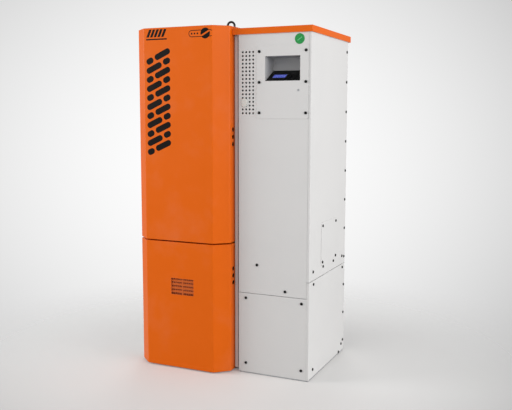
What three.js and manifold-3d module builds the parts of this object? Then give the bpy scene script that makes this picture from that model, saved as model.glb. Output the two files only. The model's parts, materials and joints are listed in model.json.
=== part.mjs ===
// Pellet boiler with a side hopper, in millimetres.
// X runs to the right, Y to the back and Z up. The floor is at zero. The boiler's left side and the
// front face of the hopper cabinet are at zero too, until the last lines centre the whole part.

import * as THREE from 'three';
import { mergeVertices } from 'three/addons/utils/BufferGeometryUtils.js';
import Module from 'manifold-3d';

const wasm = await Module();
wasm.setup();

// Fits and counts
const fitGap = 0.3; // between pieces that seat on each other
const cutOver = 1; // how far a cut runs past a face, or a welded piece into its neighbour
const grid = 1 / 1024; // corners are rounded to this, so that faces that should lie in one plane do
const runGap = 0.4; // between a pin and the round hole that it turns in
const slipGap = 0.6; // between a screw or pipe and the hole that it passes through
const pinSides = 12;
const nutSides = 6;
const pipeSides = 20;
const discSides = 28;
const bendSteps = 3;

// Cabinets
const sheet = 2;
const boilerWidth = 464;
const boilerHeight = 1541;
const stripWidth = 30; // the recessed strip between the doors and the hopper's front face
const hopperWidth = 334;
const cabinetDepth = 507;
const rimDrop = 16; // from the boiler's top down to the hopper cabinet's rim, under its lid
const panelFoot = 5; // height of the outer panels' lower edge
const flangeWidth = 22;
const screwHeadRadius = 5.2;
const screwHeadHeight = 2.5;
const edgeScrewInset = 17; // from the rear face to the row of screws along it
const edgeScrewPitch = 140;
const edgeScrewStart = 55;

// Base tray
const trayHeight = 40;
const trayWall = 3;

// Doors
const doorProjection = 77; // from the hopper's front face to the doors' flat front
const doorReturn = 28; // from the hopper's front face back to the doors' rear edge
const doorChamferWidth = 61;
const doorChamferDepth = 55;
const doorBend = 10;
const doorFoot = 5;
const doorSplit = 588; // top of the lower door
const doorSplitGap = 6;
const doorSwingGap = 5; // between the doors' rear edge and the casing
const fingerHoleRadius = 10.5;
const fingerHolePitch = 32;
const fingerHoleInset = 22; // from the doors' rear edge
const fingerHoles = 3;
const upperFingerHeight = 1064;
const lowerFingerHeight = 442;
const ventWidth = 118;
const ventOffset = 12; // of the air slots, to the right of the boiler's middle
const ventHeight = 388; // middle of the air slots
const ventRows = 5;
const ventRowPitch = 15.5;
const ventSlotHeight = 7;
const ventMidWidth = 8; // the web between the two columns of slots

// Door hinges
const hingeInset = 8; // from the doors' left face to the pin
const hingeSetback = 12; // from the doors' rear edge to the pin
const hingeArm = 3;
const hingeArmWidth = 10;
const hingePinRadius = 4;
const hingeNotchGap = 2;
const hingeLeafLength = 40;
const hingeLeafHeight = 43;
const hingePinTip = 1; // from a door's lower or upper end down to the tip of its pin

// Top cover and lifting eye
const coverGap = 4; // between the doors and the cover, room for the doors' rear corner as it swings
const coverLip = 14;
const coverLipInset = 16;
const eyeInset = 89; // from the casing's right side
const eyeY = 170;
const eyeOuterRadius = 22.5;
const eyeHoleRadius = 12.5;
const eyeCollarRadius = 12.5;
const eyeCollarHeight = 6;
const eyeShankRadius = 5;
const eyeShankLength = 32;
const eyePostRadius = 13;

// Boiler vessel
const vesselInset = 40; // from each side of the boiler's casing
const vesselFront = 110;
const vesselRearGap = 57; // from the vessel to the casing's rear face
const vesselBottom = 100;
const vesselHeadGap = 101; // from the vessel's top to the top cover's
const plate = 5;
const waterGap = 30;
const fireboxTop = 760;
const smokeBoxHeight = 125;
const smokeTubePitchShare = 0.329; // of the smoke box's width
const smokeTubeShare = 0.4; // of the pitch that is a tube's radius
const smokeTubeWall = 4;
const smokeTubes = 3;
const ashMouthHeight = 96;
const cleaningMouthInset = 10;
const legSide = 40;
const standBar = 2.5;
const jacketThickness = 28;

// Cleaning cover of the smoke box
const coverPlate = 5;
const coverEdge = 12;
const coverLedge = 6;
const coverLedgeWidth = 104;
const coverStudRadius = 5;
const coverStudLength = 30;
const coverKnobRadius = 19;
const coverKnobLength = 20;

// Turbulators
const turbulatorShare = 1.1; // its width over a tube's radius
const zigzagShare = 0.5; // half the width of its zigzag over a tube's radius
const turbulatorEndGap = 35; // from its lower end to the tube's
const turbulatorBends = 8;
const turbulatorSheet = 2;
const hangerShare = 2.5; // a hanger's length over a tube's radius
const hangerHeight = 6;

// Pipes at the back
const flueRadius = 65;
const flueWall = 2;
const flueLength = 80; // behind the rear panel
const flueFlangeRadius = 85;
const flueFlange = 4;
const stubRadius = 21;
const stubBoreRadius = 16;
const stubLength = 33; // behind the rear panel
const stubShare = 0.7135; // of the way from the boiler's middle to the vessel's left side
const stubCollarRadius = 27;
const stubCollar = 12;
const flowDrop = 55; // from the vessel's top to the flow pipe
const returnHeight = 190;
const drainInset = 94; // from the casing's right side
const drainHeight = 150;
const drainRadius = 13;
const drainBoreRadius = 6;
const drainLength = 45; // behind the rear panel
const drainBallRadius = 17;
const drainBallLength = 26;
const drainStemRadius = 4;
const drainStemDepth = 8;
const drainLeverLength = 52;
const drainLeverWidth = 12;
const drainLeverThickness = 4;

// Burner and fan
const burnerHeight = 388; // axis of the flame tube
const burnerWidth = 150;
const burnerTop = 470;
const burnerBottom = 310;
const burnerWall = 3;
const burnerFlangeEdge = 20;
const burnerFlange = 5;
const flameTubeRadius = 60;
const flameTubeLength = 180;
const fanRadius = 62;
const fanDepth = 42;
const fanWall = 2;
const fanMouthRadius = 34;
const impellerRadius = 52;
const impellerDepth = 24;
const impellerDisc = 3;
const impellerBlades = 10;
const impellerBladeLength = 22;
const impellerBladeThickness = 2;
const impellerHubRadius = 13;
const fanShaftRadius = 4;
const fanShaftLength = 22;
const fanBearingRadius = 10;
const fanBearingLength = 14;

// Ash pan
const panSideGap = 4;
const panFrontEdge = 18;
const panFront = 5;
const panRearGap = 15; // to the firebox's rear wall
const panWall = 2;
const panHandleWidth = 100;
const panHandleReach = 34;
const panHandleThickness = 10;

// Feed: auger tube, outlet, hose and inlet all lie on one slope of 45 degrees
const feedY = 72;
const feedPipeRadius = 30;
const feedPipeWall = 2;
const inletOffset = 38; // from the burner's middle to where the slope meets its top
const inletLength = 90;
const augerInset = 66; // from the hopper face's left edge
const augerTubeRadius = 40;
const augerTubeWall = 3;
const augerFront = 30;
const augerRearGap = 73; // from the tube's rear end to the rear panel
const outletLength = 110;
const throatWidth = 60;
const throatFront = 170;
const throatRearGap = 62; // from the throat to the tube's rear end
const throatRise = 2; // from the auger tube's top to the throat's edge
const screwShaftRadius = 9;
const screwFlightRadius = 35;
const screwFlightThickness = 4;
const screwFlightTurns = 6;
const screwLeadShare = 0.5; // of a turn, before the flight starts
const screwFlightGap = 9; // behind the flight, inside the tube
const screwFlightSteps = 16; // in one turn
const screwTail = 20; // of the shaft, inside the gearbox
const gearboxWidth = 110;
const gearboxHeight = 115;
const gearboxDepth = 52;
const gearboxTopShare = 0.52; // of the gearbox's height, above the auger's axis
const motorRadius = 34;
const motorLength = 95;
const hoseWall = 3;
const hoseGrip = 25; // how far the hose reaches over each pipe
const hoseWindowEdge = 8;

// Hopper cabinet
const lidGap = 2; // between the boiler's casing and the lid
const lidWallGap = 2; // between the lid's left lip and the cabinet
const stripRecess = 20;
const stripFoot = 12;
const stripTopDrop = 25; // from the rim
const frontSeam = 370;
const sideSeam = 442;
const seamGap = 2;
const cornerFold = 10; // the side panels' fold onto the front
const binFront = 112;
const binSideGap = 8;
const binRearGap = 7;
const binTaper = 1000; // height where the bin starts to narrow
const holeColumns = 4;
const holeRows = 17;
const holePitchX = 16.5;
const holePitchZ = 16.3;
const holeRadius = 4.75;
const holeInsetX = 19.5; // from the front face's left edge to the first column
const holeStartDrop = 357.5; // from the rim to the lowest row
const holeSides = 8;
const plugRadius = 13;
const plugHeight = 4;
const plugInsetX = 28;
const plugDrop = 312; // from the rim
const frontScrewHighX = 89; // from the front face's left edge
const frontScrewHighZ = 501;
const frontScrewLowX = 223.5;
const frontScrewLowZ = 393;
const lowerScrewLeft = 35; // of the lower front cover's screws, from its left edge
const lowerScrewRight = 23; // from its right edge
const lowerScrewDrop = 23;
const lowerScrewFoot = 42;
const sideScrewFront = 57;
const sideScrewRear = 40;
const sideScrewDrop = 16;
const sideScrewFoot = 35;
const accessFront = 152;
const accessRearGap = 139; // from the cabinet's rear face
const accessBottom = 488;
const accessTop = 685;
const accessLap = 30; // how far the cover laps over its hole
const accessSheet = 1.5;
const accessCorner = 14;
const accessScrewInset = 16;
const sideRowZ = 482;
const sideRowInset = 49;
const sideRowShares = [0, 0.325, 0.68, 1]; // places of the row's screws, along its length
const glandInset = 66; // from the hopper face's left edge
const glandZ = 120;
const glandRadius = 12;
const glandBoreRadius = 5;
const glandLength = 18;

// Lid
const lidRise = 5; // over the rim
const lidLip = 27;
const lidFront = 5; // overhang past the cabinet's front
const lidRight = 6;
const lidRear = 22;
const lidHingeSetback = 10; // from the lid's rear face to the pin
const lidHingeDrop = 20; // from the lid's top to the pin
const lidKnuckleRadius = 4;
const lidEarRadius = 5;
const lidKnuckleLength = 24;
const lidPinRadius = 2.5;
const lidLug = 3;
const lidLeafHeight = 44;
const lidLeafWidth = 40;
const lidHingeInset = 90; // from each side of the cabinet to its hinge
const sealThickness = 2.4;
const sealWidth = 14;
const sealInset = 3;

// Control plate, recess and controller
const controlSheet = 1.5;
const controlInset = 86; // from the front face's left edge
const controlDrop = 71.5; // from the rim
const controlHeight = 309.5;
const controlCorner = 10;
const controlScrewInset = 12.5;
const controlScrewEdge = 25; // from the plate's lower and upper edges to its end screws
const controlScrewRows = 3;
const windowInset = 39.3; // from the plate's left edge
const windowWidth = 160.2;
const windowDrop = 45.5; // from the plate's upper edge
const windowHeight = 104;
const recessDepth = 94;
const recessWall = 1.5;
const recessEdge = 8; // of the opening round the recess
const controllerSlope = 27; // degrees
const controllerThickness = 30;
const displayLeft = 17; // from the recess's left wall
const displayWidth = 66;
const displayFront = 27;
const displayHeight = 42;
const displayThickness = 2;
const buttonWidth = 15;
const buttonHeight = 13;
const buttonRise = 1.5;
const buttonDepth = 8;
const buttonTravel = 1.2;
const buttonLeft = 100; // from the recess's left wall to the first button
const buttonPitchX = 26;
const buttonFront = 30;
const buttonPitchY = 26;

// Places worked out from the sizes above
const casingFront = doorReturn + doorSwingGap;
const rimHeight = boilerHeight - rimDrop;
const rearPlane = cabinetDepth - sheet;
const flangeRear = rearPlane - fitGap;
const hopperFaceLeft = boilerWidth + stripWidth;
const totalWidth = hopperFaceLeft + hopperWidth;
const lidLeft = boilerWidth + lidGap;
const cabinetLeft = lidLeft + sheet + lidWallGap;
const panelTop = rimHeight - sheet - fitGap;
const casingTop = boilerHeight - sheet - fitGap;
const trayTop = trayHeight + fitGap;
const trayRear = flangeRear - sheet - fitGap;
const hingeX = hingeInset;
const hingeY = doorReturn - hingeSetback;
const hingeReach = sheet + fitGap + hingeArm; // from a door's end to the far face of its hinge arm
const boilerCentre = boilerWidth / 2;
const ventCentreX = boilerCentre + ventOffset;
const eyeX = boilerWidth - eyeInset;
const drainX = boilerWidth - drainInset;
const inletX = boilerCentre + inletOffset;
const augerX = hopperFaceLeft + augerInset;
const glandX = hopperFaceLeft + glandInset;
const vesselLeft = vesselInset;
const vesselRight = boilerWidth - vesselInset;
const stubX = boilerCentre - (boilerCentre - vesselLeft) * stubShare;
const vesselRear = cabinetDepth - vesselRearGap;
const vesselTop = boilerHeight - vesselHeadGap;
const flowHeight = vesselTop - flowDrop;
const jacketWall = plate + waterGap + plate;
const fireboxLeft = vesselLeft + jacketWall;
const fireboxRight = vesselRight - jacketWall;
const fireboxRear = vesselRear - jacketWall;
const fireboxFloor = vesselBottom + jacketWall;
const smokeBoxTop = vesselTop - jacketWall;
const smokeBoxFloor = smokeBoxTop - smokeBoxHeight;
const flueHeight = smokeBoxFloor + smokeBoxHeight / 2;
const fluePassageRadius = flueRadius - flueWall - flueWall; // through the vessel, inside the spigot's bore
const vesselFace = vesselFront - fitGap;
const smokeTubeY = (vesselFront + plate + fireboxRear) / 2;
const smokeTubePitch = (fireboxRight - fireboxLeft) * smokeTubePitchShare;
const smokeTubeRadius = smokeTubePitch * smokeTubeShare;
const turbulatorReach = smokeTubeRadius * zigzagShare;
const turbulatorPitch = (smokeBoxFloor - fireboxTop - turbulatorEndGap) / turbulatorBends;
const burnerLeft = boilerCentre - burnerWidth / 2;
const burnerRight = boilerCentre + burnerWidth / 2;
const burnerRear = vesselFace - burnerFlange;
const feedRise = burnerTop - inletX; // height of the feed's slope over its X
const augerHeight = augerX + feedRise;
const throatTop = augerHeight + augerTubeRadius + throatRise;
const augerRear = rearPlane - augerRearGap;
const throatRear = augerRear - throatRearGap;
const flightRoom = augerRear - augerFront - augerTubeWall - screwFlightGap;
const screwFlightPitch = flightRoom / (screwFlightTurns + screwLeadShare);
const flightFront = augerFront + augerTubeWall + screwFlightPitch * screwLeadShare;
const holeStart = rimHeight - holeStartDrop;
const stripTop = rimHeight - stripTopDrop;
const accessRear = cabinetDepth - accessRearGap;
const controlLeft = hopperFaceLeft + controlInset;
const controlTop = rimHeight - controlDrop;
const controlBottom = controlTop - controlHeight;
const windowLeft = controlLeft + windowInset;
const windowRight = windowLeft + windowWidth;
const windowTop = controlTop - windowDrop;
const windowBottom = windowTop - windowHeight;
const lidTop = rimHeight + lidRise;
const windowCentre = (windowLeft + windowRight) / 2;
const sealTop = lidTop - sheet - fitGap;
const lidHingeY = cabinetDepth + lidRear - lidHingeSetback;
const lidHingeZ = lidTop - lidHingeDrop;
const lidHingeCentres = [cabinetLeft + lidHingeInset, totalWidth - lidHingeInset];
const drainRear = cabinetDepth + drainLength;
const drainStemY = cabinetDepth + drainLength / 2;
const slopeRise = Math.tan(THREE.MathUtils.degToRad(controllerSlope));
const controllerHalf = (windowRight - windowLeft) / 2 - fitGap;
const controllerDepth = recessDepth / Math.cos(THREE.MathUtils.degToRad(controllerSlope));

// Finishes
const finish = (color, roughness, metalness) => (
  new THREE.MeshStandardMaterial({ color, roughness, metalness })
);
const orangePaint = finish('#dd6318', 0.45, 0);
const whitePaint = finish('#e4e4e2', 0.5, 0);
const blackSteel = finish('#1a1614', 0.5, 0.6);
const bareSteel = finish('#9a9c9e', 0.4, 0.9);
const zincSteel = finish('#b7b9bb', 0.35, 0.9);
const vesselPaint = finish('#3b3f44', 0.6, 0.3);
const castIron = finish('#4a4642', 0.7, 0.7);
const brass = finish('#b58e45', 0.35, 0.9);
const mineralWool = finish('#b9b6a8', 0.95, 0);
const blackPlastic = finish('#0e0e10', 0.3, 0);
const greyPlastic = finish('#c9c9c6', 0.45, 0);
const blueGlass = finish('#4b5acd', 0.1, 0);
const redPlastic = finish('#b3201c', 0.4, 0);
const clearHose = finish('#b8c0c0', 0.3, 0);
const foamRubber = finish('#2a2a2a', 0.9, 0);

// Turns a closed geometry into a solid that can be joined and cut
function solid(geometry) {
  const bare = geometry.index ? geometry.toNonIndexed() : geometry.clone();
  bare.deleteAttribute('normal');
  bare.deleteAttribute('uv');
  const merged = mergeVertices(bare);
  const vertProperties = merged.attributes.position.array.map((value) => Math.round(value / grid) * grid);
  const triVerts = new Uint32Array(merged.index.array);
  return new wasm.Manifold(new wasm.Mesh({ numProp: 3, vertProperties, triVerts }));
}

// Turns a solid into a named mesh
function piece(name, body, material) {
  const { vertProperties, triVerts } = body.getMesh();
  const geometry = new THREE.BufferGeometry();
  geometry.setAttribute('position', new THREE.BufferAttribute(new Float32Array(vertProperties), 3));
  geometry.setIndex(new THREE.BufferAttribute(new Uint32Array(triVerts), 1));
  geometry.computeVertexNormals();
  const mesh = new THREE.Mesh(geometry, material);
  mesh.name = name;
  return mesh;
}

const joined = (bodies) => bodies.reduce((whole, body) => whole.add(body));
const cut = (body, cutters) => cutters.reduce((whole, cutter) => whole.subtract(cutter), body);

// A box between two corners
function box([x0, y0, z0], [x1, y1, z1]) {
  const geometry = new THREE.BoxGeometry(x1 - x0, y1 - y0, z1 - z0);
  return solid(geometry.translate((x0 + x1) / 2, (y0 + y1) / 2, (z0 + z1) / 2));
}

// An outline pushed along an axis: its points are (x, y) for z, (x, z) for y and (y, z) for x
function prism(axis, outline, from, to) {
  const shape = new THREE.Shape(outline.map(([u, v]) => new THREE.Vector2(u, v)));
  const geometry = new THREE.ExtrudeGeometry(shape, { depth: to - from, bevelEnabled: false });
  const x = new THREE.Vector3(1, 0, 0);
  const y = new THREE.Vector3(0, 1, 0);
  const z = new THREE.Vector3(0, 0, 1);
  if (axis === 'x') geometry.applyMatrix4(new THREE.Matrix4().makeBasis(y, z, x)).translate(from, 0, 0);
  if (axis === 'y') geometry.applyMatrix4(new THREE.Matrix4().makeBasis(x, z, y.negate())).translate(0, to, 0);
  if (axis === 'z') geometry.translate(0, 0, from);
  return solid(geometry);
}

function circle([u, v], radius, sides) {
  const curve = new THREE.ArcCurve(u, v, radius, 0, 2 * Math.PI, false);
  return curve.getPoints(sides).slice(0, sides).map((point) => [point.x, point.y]);
}

const rectangle = (u0, v0, u1, v1) => [[u0, v0], [u1, v0], [u1, v1], [u0, v1]];
const rod = (axis, centre, radius, from, to, sides) => prism(axis, circle(centre, radius, sides), from, to);

// A round rod between any two points
function rodBetween(start, end, radius, sides) {
  const from = new THREE.Vector3(...start);
  const along = new THREE.Vector3(...end).sub(from);
  const geometry = new THREE.CylinderGeometry(radius, radius, along.length(), sides);
  geometry.translate(0, along.length() / 2, 0);
  const turn = new THREE.Quaternion().setFromUnitVectors(new THREE.Vector3(0, 1, 0), along.normalize());
  return solid(geometry.applyQuaternion(turn).translate(from.x, from.y, from.z));
}

const toward = (from, [u, v]) => new THREE.Vector2(u, v).sub(from).normalize();

// An outline of [u, v, radius] corners, with an arc at each corner that has a radius
function rounded(corners) {
  return corners.flatMap(([u, v, radius = 0], index) => {
    const corner = new THREE.Vector2(u, v);
    const before = toward(corner, corners.at(index - 1));
    const after = toward(corner, corners[(index + 1) % corners.length]);
    const half = before.angleTo(after) / 2;
    const middle = before.clone().add(after).normalize();
    const centre = corner.clone().addScaledVector(middle, radius / Math.sin(half));
    const first = corner.clone().addScaledVector(before, radius / Math.tan(half)).sub(centre);
    const last = corner.clone().addScaledVector(after, radius / Math.tan(half)).sub(centre);
    const turn = Math.sign(first.cross(last)) * first.angleTo(last);
    const steps = radius > 0 ? bendSteps : 0;
    return Array.from({ length: steps + 1 }, (_, step) => {
      const point = first.clone().rotateAround(new THREE.Vector2(), (turn * step) / Math.max(steps, 1));
      return [centre.x + point.x, centre.y + point.y];
    });
  });
}

// The same corners, moved inwards by a wall. The corners run anticlockwise.
function inset(corners, wall) {
  return corners.map(([u, v, radius = 0], index) => {
    const corner = new THREE.Vector2(u, v);
    const [u0, v0] = corners.at(index - 1);
    const came = corner.clone().sub(new THREE.Vector2(u0, v0)).normalize();
    const goes = toward(corner, corners[(index + 1) % corners.length]);
    const normalIn = new THREE.Vector2(-came.y, came.x);
    const normalOut = new THREE.Vector2(-goes.y, goes.x);
    const reach = wall / (1 + normalIn.dot(normalOut));
    const moved = corner.add(normalIn.add(normalOut).multiplyScalar(reach));
    return [moved.x, moved.y, Math.max(radius - wall, 0)];
  });
}

// A screw head that sits on a face, made of the panel's own solid. outward is 1 or -1 along the axis.
function screwHead(axis, centre, face, outward) {
  const ends = [face - outward * cutOver, face + outward * screwHeadHeight].sort((a, b) => a - b);
  return rod(axis, centre, screwHeadRadius, ends[0], ends[1], holeSides);
}

// Base tray with upright walls, which the panels are screwed to
function baseTray() {
  const side = sheet + fitGap;
  const corners = [
    [side, casingFront + sheet],
    [hopperFaceLeft + side, casingFront + sheet],
    [hopperFaceLeft + side, side],
    [totalWidth - side, side],
    [totalWidth - side, trayRear],
    [side, trayRear],
  ];
  const well = prism('z', inset(corners, trayWall).map(([u, v]) => [u, v]), trayWall, trayHeight + cutOver);
  return prism('z', corners, 0, trayHeight).subtract(well);
}

// A side panel of the boiler's casing with a flange along its rear edge
function boilerSide(outer, inner, bottom) {
  const flangeEnd = inner + Math.sign(inner - outer) * flangeWidth;
  const outline = [
    [outer, casingFront],
    [inner, casingFront],
    [inner, flangeRear - sheet],
    [flangeEnd, flangeRear - sheet],
    [flangeEnd, flangeRear],
    [outer, flangeRear],
  ];
  return prism('z', outline, bottom, casingTop);
}

function boilerRightPanel() {
  return boilerSide(boilerWidth, boilerWidth - sheet, trayTop).subtract(hoseWindow());
}

// The window that the feed hose passes through, in both panels between the boiler and the hopper
function hoseWindow() {
  const centre = (boilerWidth + cabinetLeft) / 2 + feedRise;
  const reach = (feedPipeRadius + hoseWall + hoseWindowEdge) * Math.SQRT2 + hoseWindowEdge;
  const half = feedPipeRadius + hoseWall + slipGap + sheet;
  const low = [boilerWidth - sheet - cutOver, feedY - half, centre - reach];
  return box(low, [cabinetLeft + sheet + cutOver, feedY + half, centre + reach]);
}

function boilerRear() {
  const panel = box([0, rearPlane, panelFoot], [boilerWidth, cabinetDepth, casingTop]);
  const rear = cabinetDepth + cutOver;
  const hole = (x, z, radius) => rod('y', [x, z], radius, rearPlane - cutOver, rear, pipeSides);
  return cut(panel, [
    hole(boilerCentre, flueHeight, flueRadius + sheet),
    hole(stubX, flowHeight, stubRadius + sheet),
    hole(stubX, returnHeight, stubRadius + sheet),
    hole(drainX, drainHeight, drainRadius + sheet),
  ]);
}

function topCover() {
  const front = doorReturn + coverGap;
  const top = box([0, front, boilerHeight - sheet], [boilerWidth, cabinetDepth, boilerHeight]);
  const lipLeft = coverLipInset;
  const lipFront = front + coverLipInset;
  const lipRear = trayRear - coverLipInset;
  const outline = rectangle(lipLeft, lipFront, boilerWidth - coverLipInset, lipRear);
  const lipBottom = boilerHeight - sheet - coverLip;
  const frame = prism('z', outline, lipBottom, boilerHeight);
  const hollow = prism('z', inset(outline, sheet), lipBottom - cutOver, boilerHeight - sheet);
  const hole = rod('z', [eyeX, eyeY], eyeShankRadius + slipGap, lipBottom, boilerHeight + cutOver, pinSides);
  return cut(top.add(frame.subtract(hollow)), [hole]);
}

function eyeBolt() {
  const seat = boilerHeight + fitGap;
  const ringRadius = (eyeOuterRadius + eyeHoleRadius) / 2;
  const wire = (eyeOuterRadius - eyeHoleRadius) / 2;
  const ring = new THREE.TorusGeometry(ringRadius, wire, pinSides, pipeSides);
  ring.rotateX(Math.PI / 2).translate(eyeX, eyeY, seat + eyeOuterRadius);
  const collar = rod('z', [eyeX, eyeY], eyeCollarRadius, seat, seat + eyeCollarHeight, pipeSides);
  const shank = rod('z', [eyeX, eyeY], eyeShankRadius, seat - eyeShankLength, seat + cutOver, pinSides);
  return joined([solid(ring), collar, shank]);
}

// Welded vessel: a firebox below, three smoke tubes, a smoke box above and water all round them
function boilerVessel() {
  const outer = box([vesselLeft, vesselFront, vesselBottom], [vesselRight, vesselRear, vesselTop]);
  const inside = box(
    [vesselLeft + plate, vesselFront + plate, vesselBottom + plate],
    [vesselRight - plate, vesselRear - plate, vesselTop - plate],
  );
  const frontHole = (x0, z0, x1, z1) => (
    box([x0, vesselFront - cutOver, z0], [x1, vesselFront + plate + cutOver, z1])
  );
  const burnerHole = rod(
    'y',
    [boilerCentre, burnerHeight],
    flameTubeRadius + sheet,
    vesselFront - cutOver,
    vesselFront + plate + cutOver,
    discSides,
  );
  const rearHole = (x, z, radius) => (
    rod('y', [x, z], radius, vesselRear - plate - cutOver, vesselRear + cutOver, pipeSides)
  );
  const shell = cut(outer, [
    inside,
    frontHole(fireboxLeft, fireboxFloor, fireboxRight, fireboxFloor + ashMouthHeight),
    frontHole(...cleaningMouth()),
    burnerHole,
    rearHole(boilerCentre, flueHeight, fluePassageRadius),
    rearHole(stubX, flowHeight, stubBoreRadius),
    rearHole(stubX, returnHeight, stubBoreRadius),
    rearHole(drainX, drainHeight, drainBoreRadius),
  ]);
  return joined([shell, liftingPost(), coverStud(), coverShelf()]);
}

// A box of plate inside the vessel, with its mouth against the inside of the front plate
function chamber(floor, top) {
  const front = vesselFront + plate + fitGap;
  const outer = box(
    [fireboxLeft - plate, front, floor - plate],
    [fireboxRight + plate, fireboxRear + plate, top + plate],
  );
  return outer.subtract(box([fireboxLeft, front - cutOver, floor], [fireboxRight, fireboxRear, top]));
}

// The smoke tubes' holes through a plate that lies on the given level
function tubeHoles(level) {
  const top = level + plate + cutOver;
  return Array.from({ length: smokeTubes }, (_, index) => (
    rod('z', [smokeTubeX(index), smokeTubeY], smokeTubeRadius, level - cutOver, top, pipeSides)
  ));
}

function fireChamber() {
  return cut(chamber(fireboxFloor, fireboxTop), tubeHoles(fireboxTop));
}

function smokeChamber() {
  const rear = vesselRear - plate - fitGap;
  const duct = (radius, from, to) => rod('y', [boilerCentre, flueHeight], radius, from, to, pipeSides);
  const outer = chamber(smokeBoxFloor, smokeBoxTop).add(
    duct(fluePassageRadius + plate, fireboxRear + cutOver, rear),
  );
  return cut(outer, [
    duct(fluePassageRadius, fireboxRear - cutOver, rear + cutOver),
    ...tubeHoles(smokeBoxFloor - plate),
  ]);
}

// A smoke tube between the two chambers. Its own zero is at the middle of its lower end.
function smokeTube() {
  const length = smokeBoxFloor - plate - fitGap - smokeTubeStart;
  const outer = rod('z', [0, 0], smokeTubeRadius + smokeTubeWall, 0, length, pipeSides);
  return outer.subtract(rod('z', [0, 0], smokeTubeRadius, -cutOver, length + cutOver, pipeSides));
}

const smokeTubeStart = fireboxTop + plate + fitGap;
const smokeTubeX = (index) => boilerCentre + (index - (smokeTubes - 1) / 2) * smokeTubePitch;

function cleaningMouth() {
  const edge = cleaningMouthInset;
  return [fireboxLeft + edge, smokeBoxFloor + edge, fireboxRight - edge, smokeBoxTop - edge];
}

// The stand: four legs on a ring of flat bar
function vesselStand() {
  const floor = trayWall + fitGap;
  const top = vesselBottom - fitGap;
  const outline = rectangle(vesselLeft, vesselFront, vesselRight, vesselRear);
  const bars = prism('z', outline, floor, floor + standBar);
  const middle = prism('z', inset(outline, legSide), floor - cutOver, floor + standBar + cutOver);
  const lefts = [vesselLeft, vesselRight - legSide];
  const fronts = [vesselFront, vesselRear - legSide];
  const legs = lefts.flatMap((x) => fronts.map((y) => box([x, y, floor], [x + legSide, y + legSide, top])));
  return joined([bars.subtract(middle), ...legs]);
}

// The post under the lifting eye, threaded for its shank
function liftingPost() {
  const post = rod('z', [eyeX, eyeY], eyePostRadius, vesselTop - cutOver, casingTop, pipeSides);
  const bottom = boilerHeight - eyeShankLength - fitGap;
  const bore = eyeShankRadius + slipGap;
  return post.subtract(rod('z', [eyeX, eyeY], bore, bottom, casingTop + cutOver, pinSides));
}

const coverStudZ = () => cleaningMouth()[3] + coverEdge + coverStudRadius;

function coverStud() {
  const start = vesselFront - coverStudLength;
  return rod('y', [boilerCentre, coverStudZ()], coverStudRadius, start, vesselFront + cutOver, pinSides);
}

// The ledge that the cleaning cover stands on
function coverShelf() {
  const top = cleaningMouth()[1] - coverEdge - fitGap;
  const low = [boilerCentre - coverLedgeWidth / 2, vesselFront - coverEdge, top - coverLedge];
  return box(low, [boilerCentre + coverLedgeWidth / 2, vesselFront + cutOver, top]);
}

function exchangerCover() {
  const [x0, z0, x1, z1] = cleaningMouth();
  const low = [x0 - coverEdge, vesselFace - coverPlate, z0 - coverEdge];
  const high = [x1 + coverEdge, vesselFace, coverStudZ() + coverEdge];
  const front = low[1] - cutOver;
  const bore = coverStudRadius + slipGap;
  const hole = rod('y', [boilerCentre, coverStudZ()], bore, front, vesselFront, pinSides);
  return box(low, high).subtract(hole);
}

function coverKnob() {
  const rear = vesselFace - coverPlate - fitGap;
  const front = rear - coverKnobLength;
  const centre = [boilerCentre, coverStudZ()];
  const bore = rod('y', centre, coverStudRadius + slipGap, front - cutOver, vesselFront, pinSides);
  return rod('y', centre, coverKnobRadius, front, rear, pinSides).subtract(bore);
}

// A zigzag strip with a bar across its top, which rests on the tube plate. Its own zero is on that plate.
function turbulator() {
  const front = [];
  const back = [];
  for (let bend = 0; bend <= turbulatorBends; bend += 1) {
    const reach = bend % 2 ? -turbulatorReach : turbulatorReach - turbulatorSheet;
    front.push([reach, hangerHeight / 2 - bend * turbulatorPitch]);
    back.unshift([reach + turbulatorSheet, hangerHeight / 2 - bend * turbulatorPitch]);
  }
  const half = (smokeTubeRadius * turbulatorShare) / 2;
  const strip = prism('y', [...front, ...back], -half, half);
  const hangerEnd = (smokeTubeRadius * hangerShare) / 2;
  const low = [-turbulatorReach, -hangerEnd, fitGap];
  return strip.add(box(low, [turbulatorReach, hangerEnd, fitGap + hangerHeight]));
}

// A blanket round the vessel's sides and back
function insulationJacket() {
  const inner = fitGap;
  const outer = fitGap + jacketThickness;
  const outline = [
    [vesselLeft - outer, vesselFront],
    [vesselLeft - inner, vesselFront],
    [vesselLeft - inner, vesselRear + inner],
    [vesselRight + inner, vesselRear + inner],
    [vesselRight + inner, vesselFront],
    [vesselRight + outer, vesselFront],
    [vesselRight + outer, vesselRear + outer],
    [vesselLeft - outer, vesselRear + outer],
  ];
  const hole = (x, z, radius) => (
    rod('y', [x, z], radius, vesselRear - cutOver, vesselRear + outer + cutOver, pipeSides)
  );
  return cut(prism('z', outline, vesselBottom, vesselTop), [
    hole(boilerCentre, flueHeight, flueFlangeRadius + sheet),
    hole(stubX, flowHeight, stubCollarRadius + sheet),
    hole(stubX, returnHeight, stubCollarRadius + sheet),
    hole(drainX, drainHeight, drainBallRadius + sheet),
  ]);
}

function flueSpigot() {
  const front = vesselRear + fitGap;
  const rear = cabinetDepth + flueLength;
  const centre = [boilerCentre, flueHeight];
  const flange = rod('y', centre, flueFlangeRadius, front, front + flueFlange, discSides);
  const pipe = rod('y', centre, flueRadius, front, rear, discSides);
  const bore = rod('y', centre, flueRadius - flueWall, front - cutOver, rear + cutOver, discSides);
  return flange.add(pipe).subtract(bore);
}

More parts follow.
